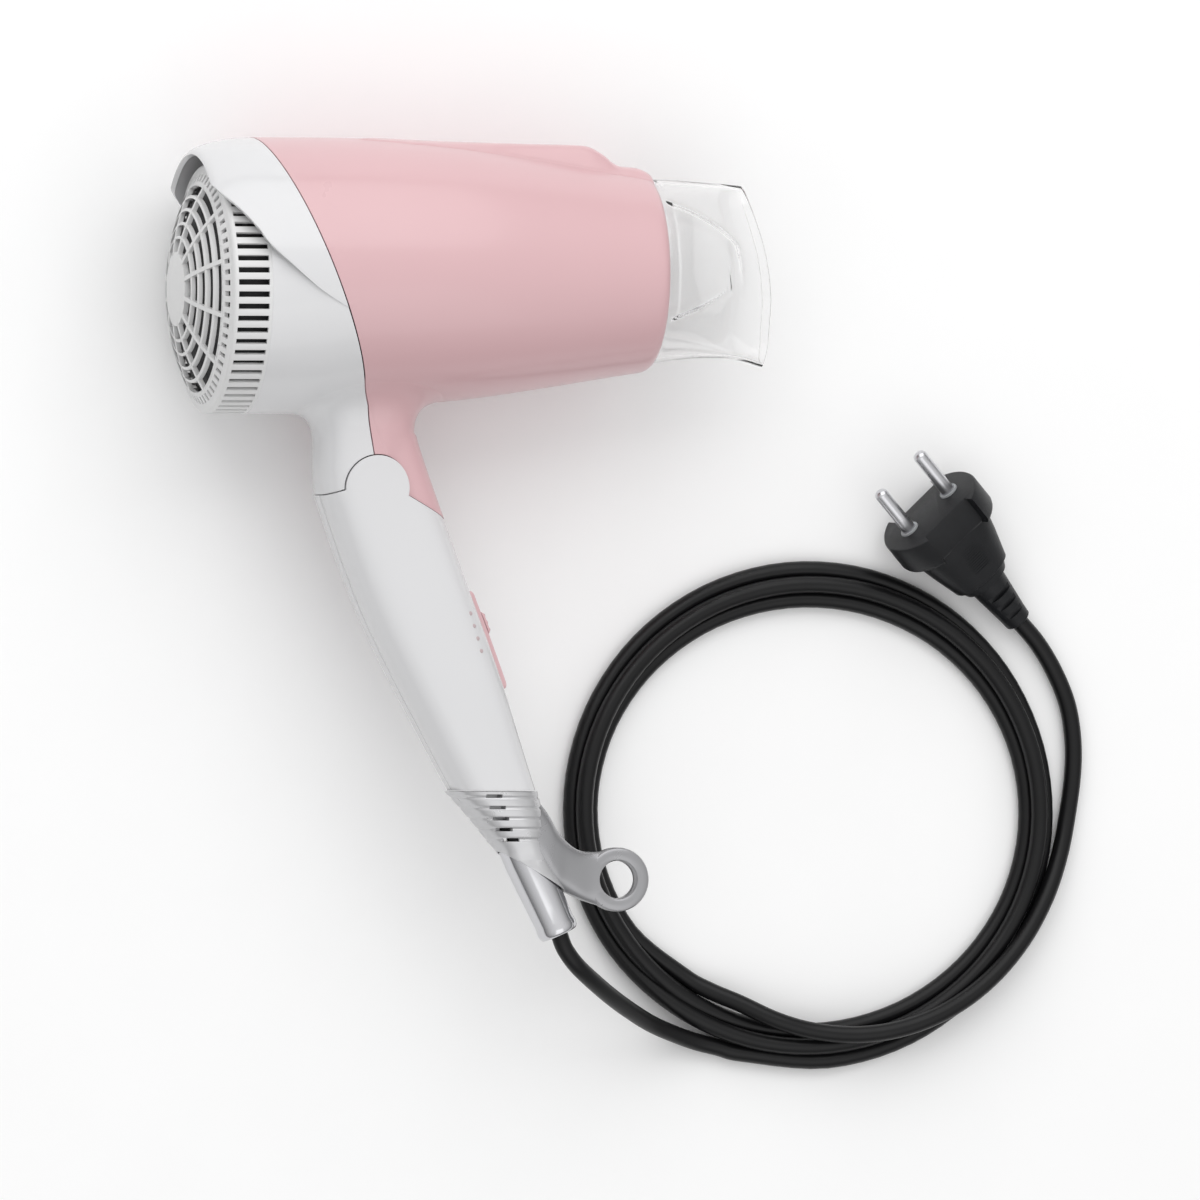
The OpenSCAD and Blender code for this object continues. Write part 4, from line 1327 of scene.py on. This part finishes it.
def make_plug():
    mesh = bmesh.new()
    # Strain relief, grip and flank
    rows = [
        (0.0, 4.0, 4.0, 1.0), (0.5, 4.7, 4.7, 1.0), (4, 5.0, 5.0, 1.0), (19.4, 6.3, 6.8, 1.0),
        (19.9, 6.3, 6.8, 1.0), (20.3, 7.2, 8.6, 0.9), (23, 7.7, 9.8, 0.85), (23.5, 8.3, 11, 0.8),
        (34, 10.4, 13.7, 0.75), (43, 12.0, 15.6, 0.72), (52.6, 12.2, 15.8, 0.7),
    ]
    rings = [rounded_ring(hx, hy, z, p) for z, hx, hy, p in rows]
    grid(mesh, rings, place=plug_point, cap_start=True, cap_end=True)
    tidy(mesh)
    body = add_object("plug", mesh)
    tools = []
    for k in range(3):
        for side in (-1, 1):
            slot = bmesh.new()
            box_in(slot, (side * 6.6 - 2.6, -7.5, 4.6 + 4.6 * k), (5.2, 15, 1.9), plug_point)
            tidy(slot)
            tools.append(add_object("slot", slot))
    # Fine ribs of the grip
    for side in (-1, 1):
        for k in range(12):
            rib = bmesh.new()
            z = 28.6 + 0.95 * k
            x = side * (9.9 + 0.2 * (z - 23.5)) - 1.8
            box_in(rib, (x, -4.5, z), (3.6, 9, 0.4), plug_point)
            tidy(rib)
            tools.append(add_object("rib", rib))
    cut(body, tools)

    mesh = bmesh.new()
    outline = plug_outline()
    rings = []
    for z, inset in ((42.6, 1.0), (43.2, 0.3), (44, 0.0), (53.2, 0.0), (53.8, 0.35), (54, 0.9)):
        scale = 1 - inset / HEAD_R
        rings.append([(x * scale, y * scale, z) for x, y in outline])
    grid(mesh, rings, place=plug_point, cap_start=True, cap_end=True)
    tidy(mesh)
    head = add_object("plug_head", mesh)
    whole = join([body, head])
    whole.name = "plug_cover"
    finish_piece(whole, "handle", PLUG_BLACK, ["plug_body"], 38)

    mesh = bmesh.new()
    profile = [(0.01, -4), (PIN_R, -4), (PIN_R, PIN_L - 1.9)]
    profile += [
        (PIN_R * math.cos(a), PIN_L - 1.9 + 1.9 * math.sin(a))
        for a in spaced(0.2, math.pi / 2 - 0.01, 8)
    ]
    turn_pin(mesh, profile)
    tidy(mesh)
    pins = add_object("pins", mesh)
    finish_piece(pins, "handle", STEEL, ["plug_pins"], 60)
    mesh = bmesh.new()
    collar = [(-0.1, 0), (1.0, 0), (0.9, 0.6), (0.2, 0.75), (-0.1, 0.5)]
    turn_pin(mesh, [(PIN_R + out, d) for out, d in collar])
    tidy(mesh)
    collars = add_object("collars", mesh)
    finish_piece(collars, "handle", GREY, ["pin_collars"], 60)
    return whole, pins, collars


plug_pieces = make_plug()


# ---------- pieces carried over from the frame ----------

CARRIED = {
    "fan_duct": DARK,
    "motor_can": STEEL,
    "motor_end_cap": IVORY,
    "brush_holders": BRASS,
    "mica_tube": MICA,
    "heater_boards": MICA,
    "heating_coils": HOT_WIRE,
    "thermostat": STEEL,
    "thermal_fuse": BRASS,
    "outlet_grille": DARK,
    "head_wires": RED,
    "head_screws": STEEL,
    "hinge_bushes": STEEL,
    "fan_rotor": GREY,
    "motor_shaft": STEEL,
    "nozzle_ring": IVORY,
    "hinge_washers": BRASS,
    "switch_body": DARK,
    "rectifier_board": BOARD,
    "cord_clamp": DARK,
    "handle_wires": BLUE,
    "switch_actuator": DARK,
}
for node_name, surface in CARRIED.items():
    shade(frame["nodes"][node_name], surface, 30)


# ---------- floor and lights ----------

# Height in the sky, from level to straight up, and how bright it is there
SKY_LEVELS = ((0.0, 0.16), (1.0, 0.98), (0.5, 0.62))


def make_floor():
    mesh = bmesh.new()
    bmesh.ops.create_grid(mesh, x_segments=1, y_segments=1, size=3.0)
    floor = add_object("floor", mesh)
    floor.location.z = -0.0002
    floor.data.materials.append(FLOOR)


def make_sky():
    """Pale light from all round, brighter from above than from the sides."""
    world = bpy.data.worlds.new("studio")
    bpy.context.scene.world = world
    world.use_nodes = True
    nodes, links = world.node_tree.nodes, world.node_tree.links
    way = nodes.new("ShaderNodeTexCoord")
    split = nodes.new("ShaderNodeSeparateXYZ")
    glow = nodes.new("ShaderNodeValToRGB")
    stops = glow.color_ramp.elements
    for stop, (place, level) in zip([stops[0], stops[1], stops.new(0.5)], SKY_LEVELS):
        stop.position, stop.color = place, (level, level, level, 1)
    nodes["Background"].inputs["Strength"].default_value = 1.0
    links.new(way.outputs["Generated"], split.inputs["Vector"])
    links.new(split.outputs["Z"], glow.inputs["Fac"])
    links.new(glow.outputs["Color"], nodes["Background"].inputs["Color"])


make_floor()
area_light("key", (-0.15, 1.45, 1.15), (0.02, 0, 0.03), 2.2, 21)
area_light("front", (0.3, -1.1, 1.7), (0.02, 0, 0.03), 1.5, 4)
make_sky()
bpy.context.scene.view_settings.view_transform = "Standard"
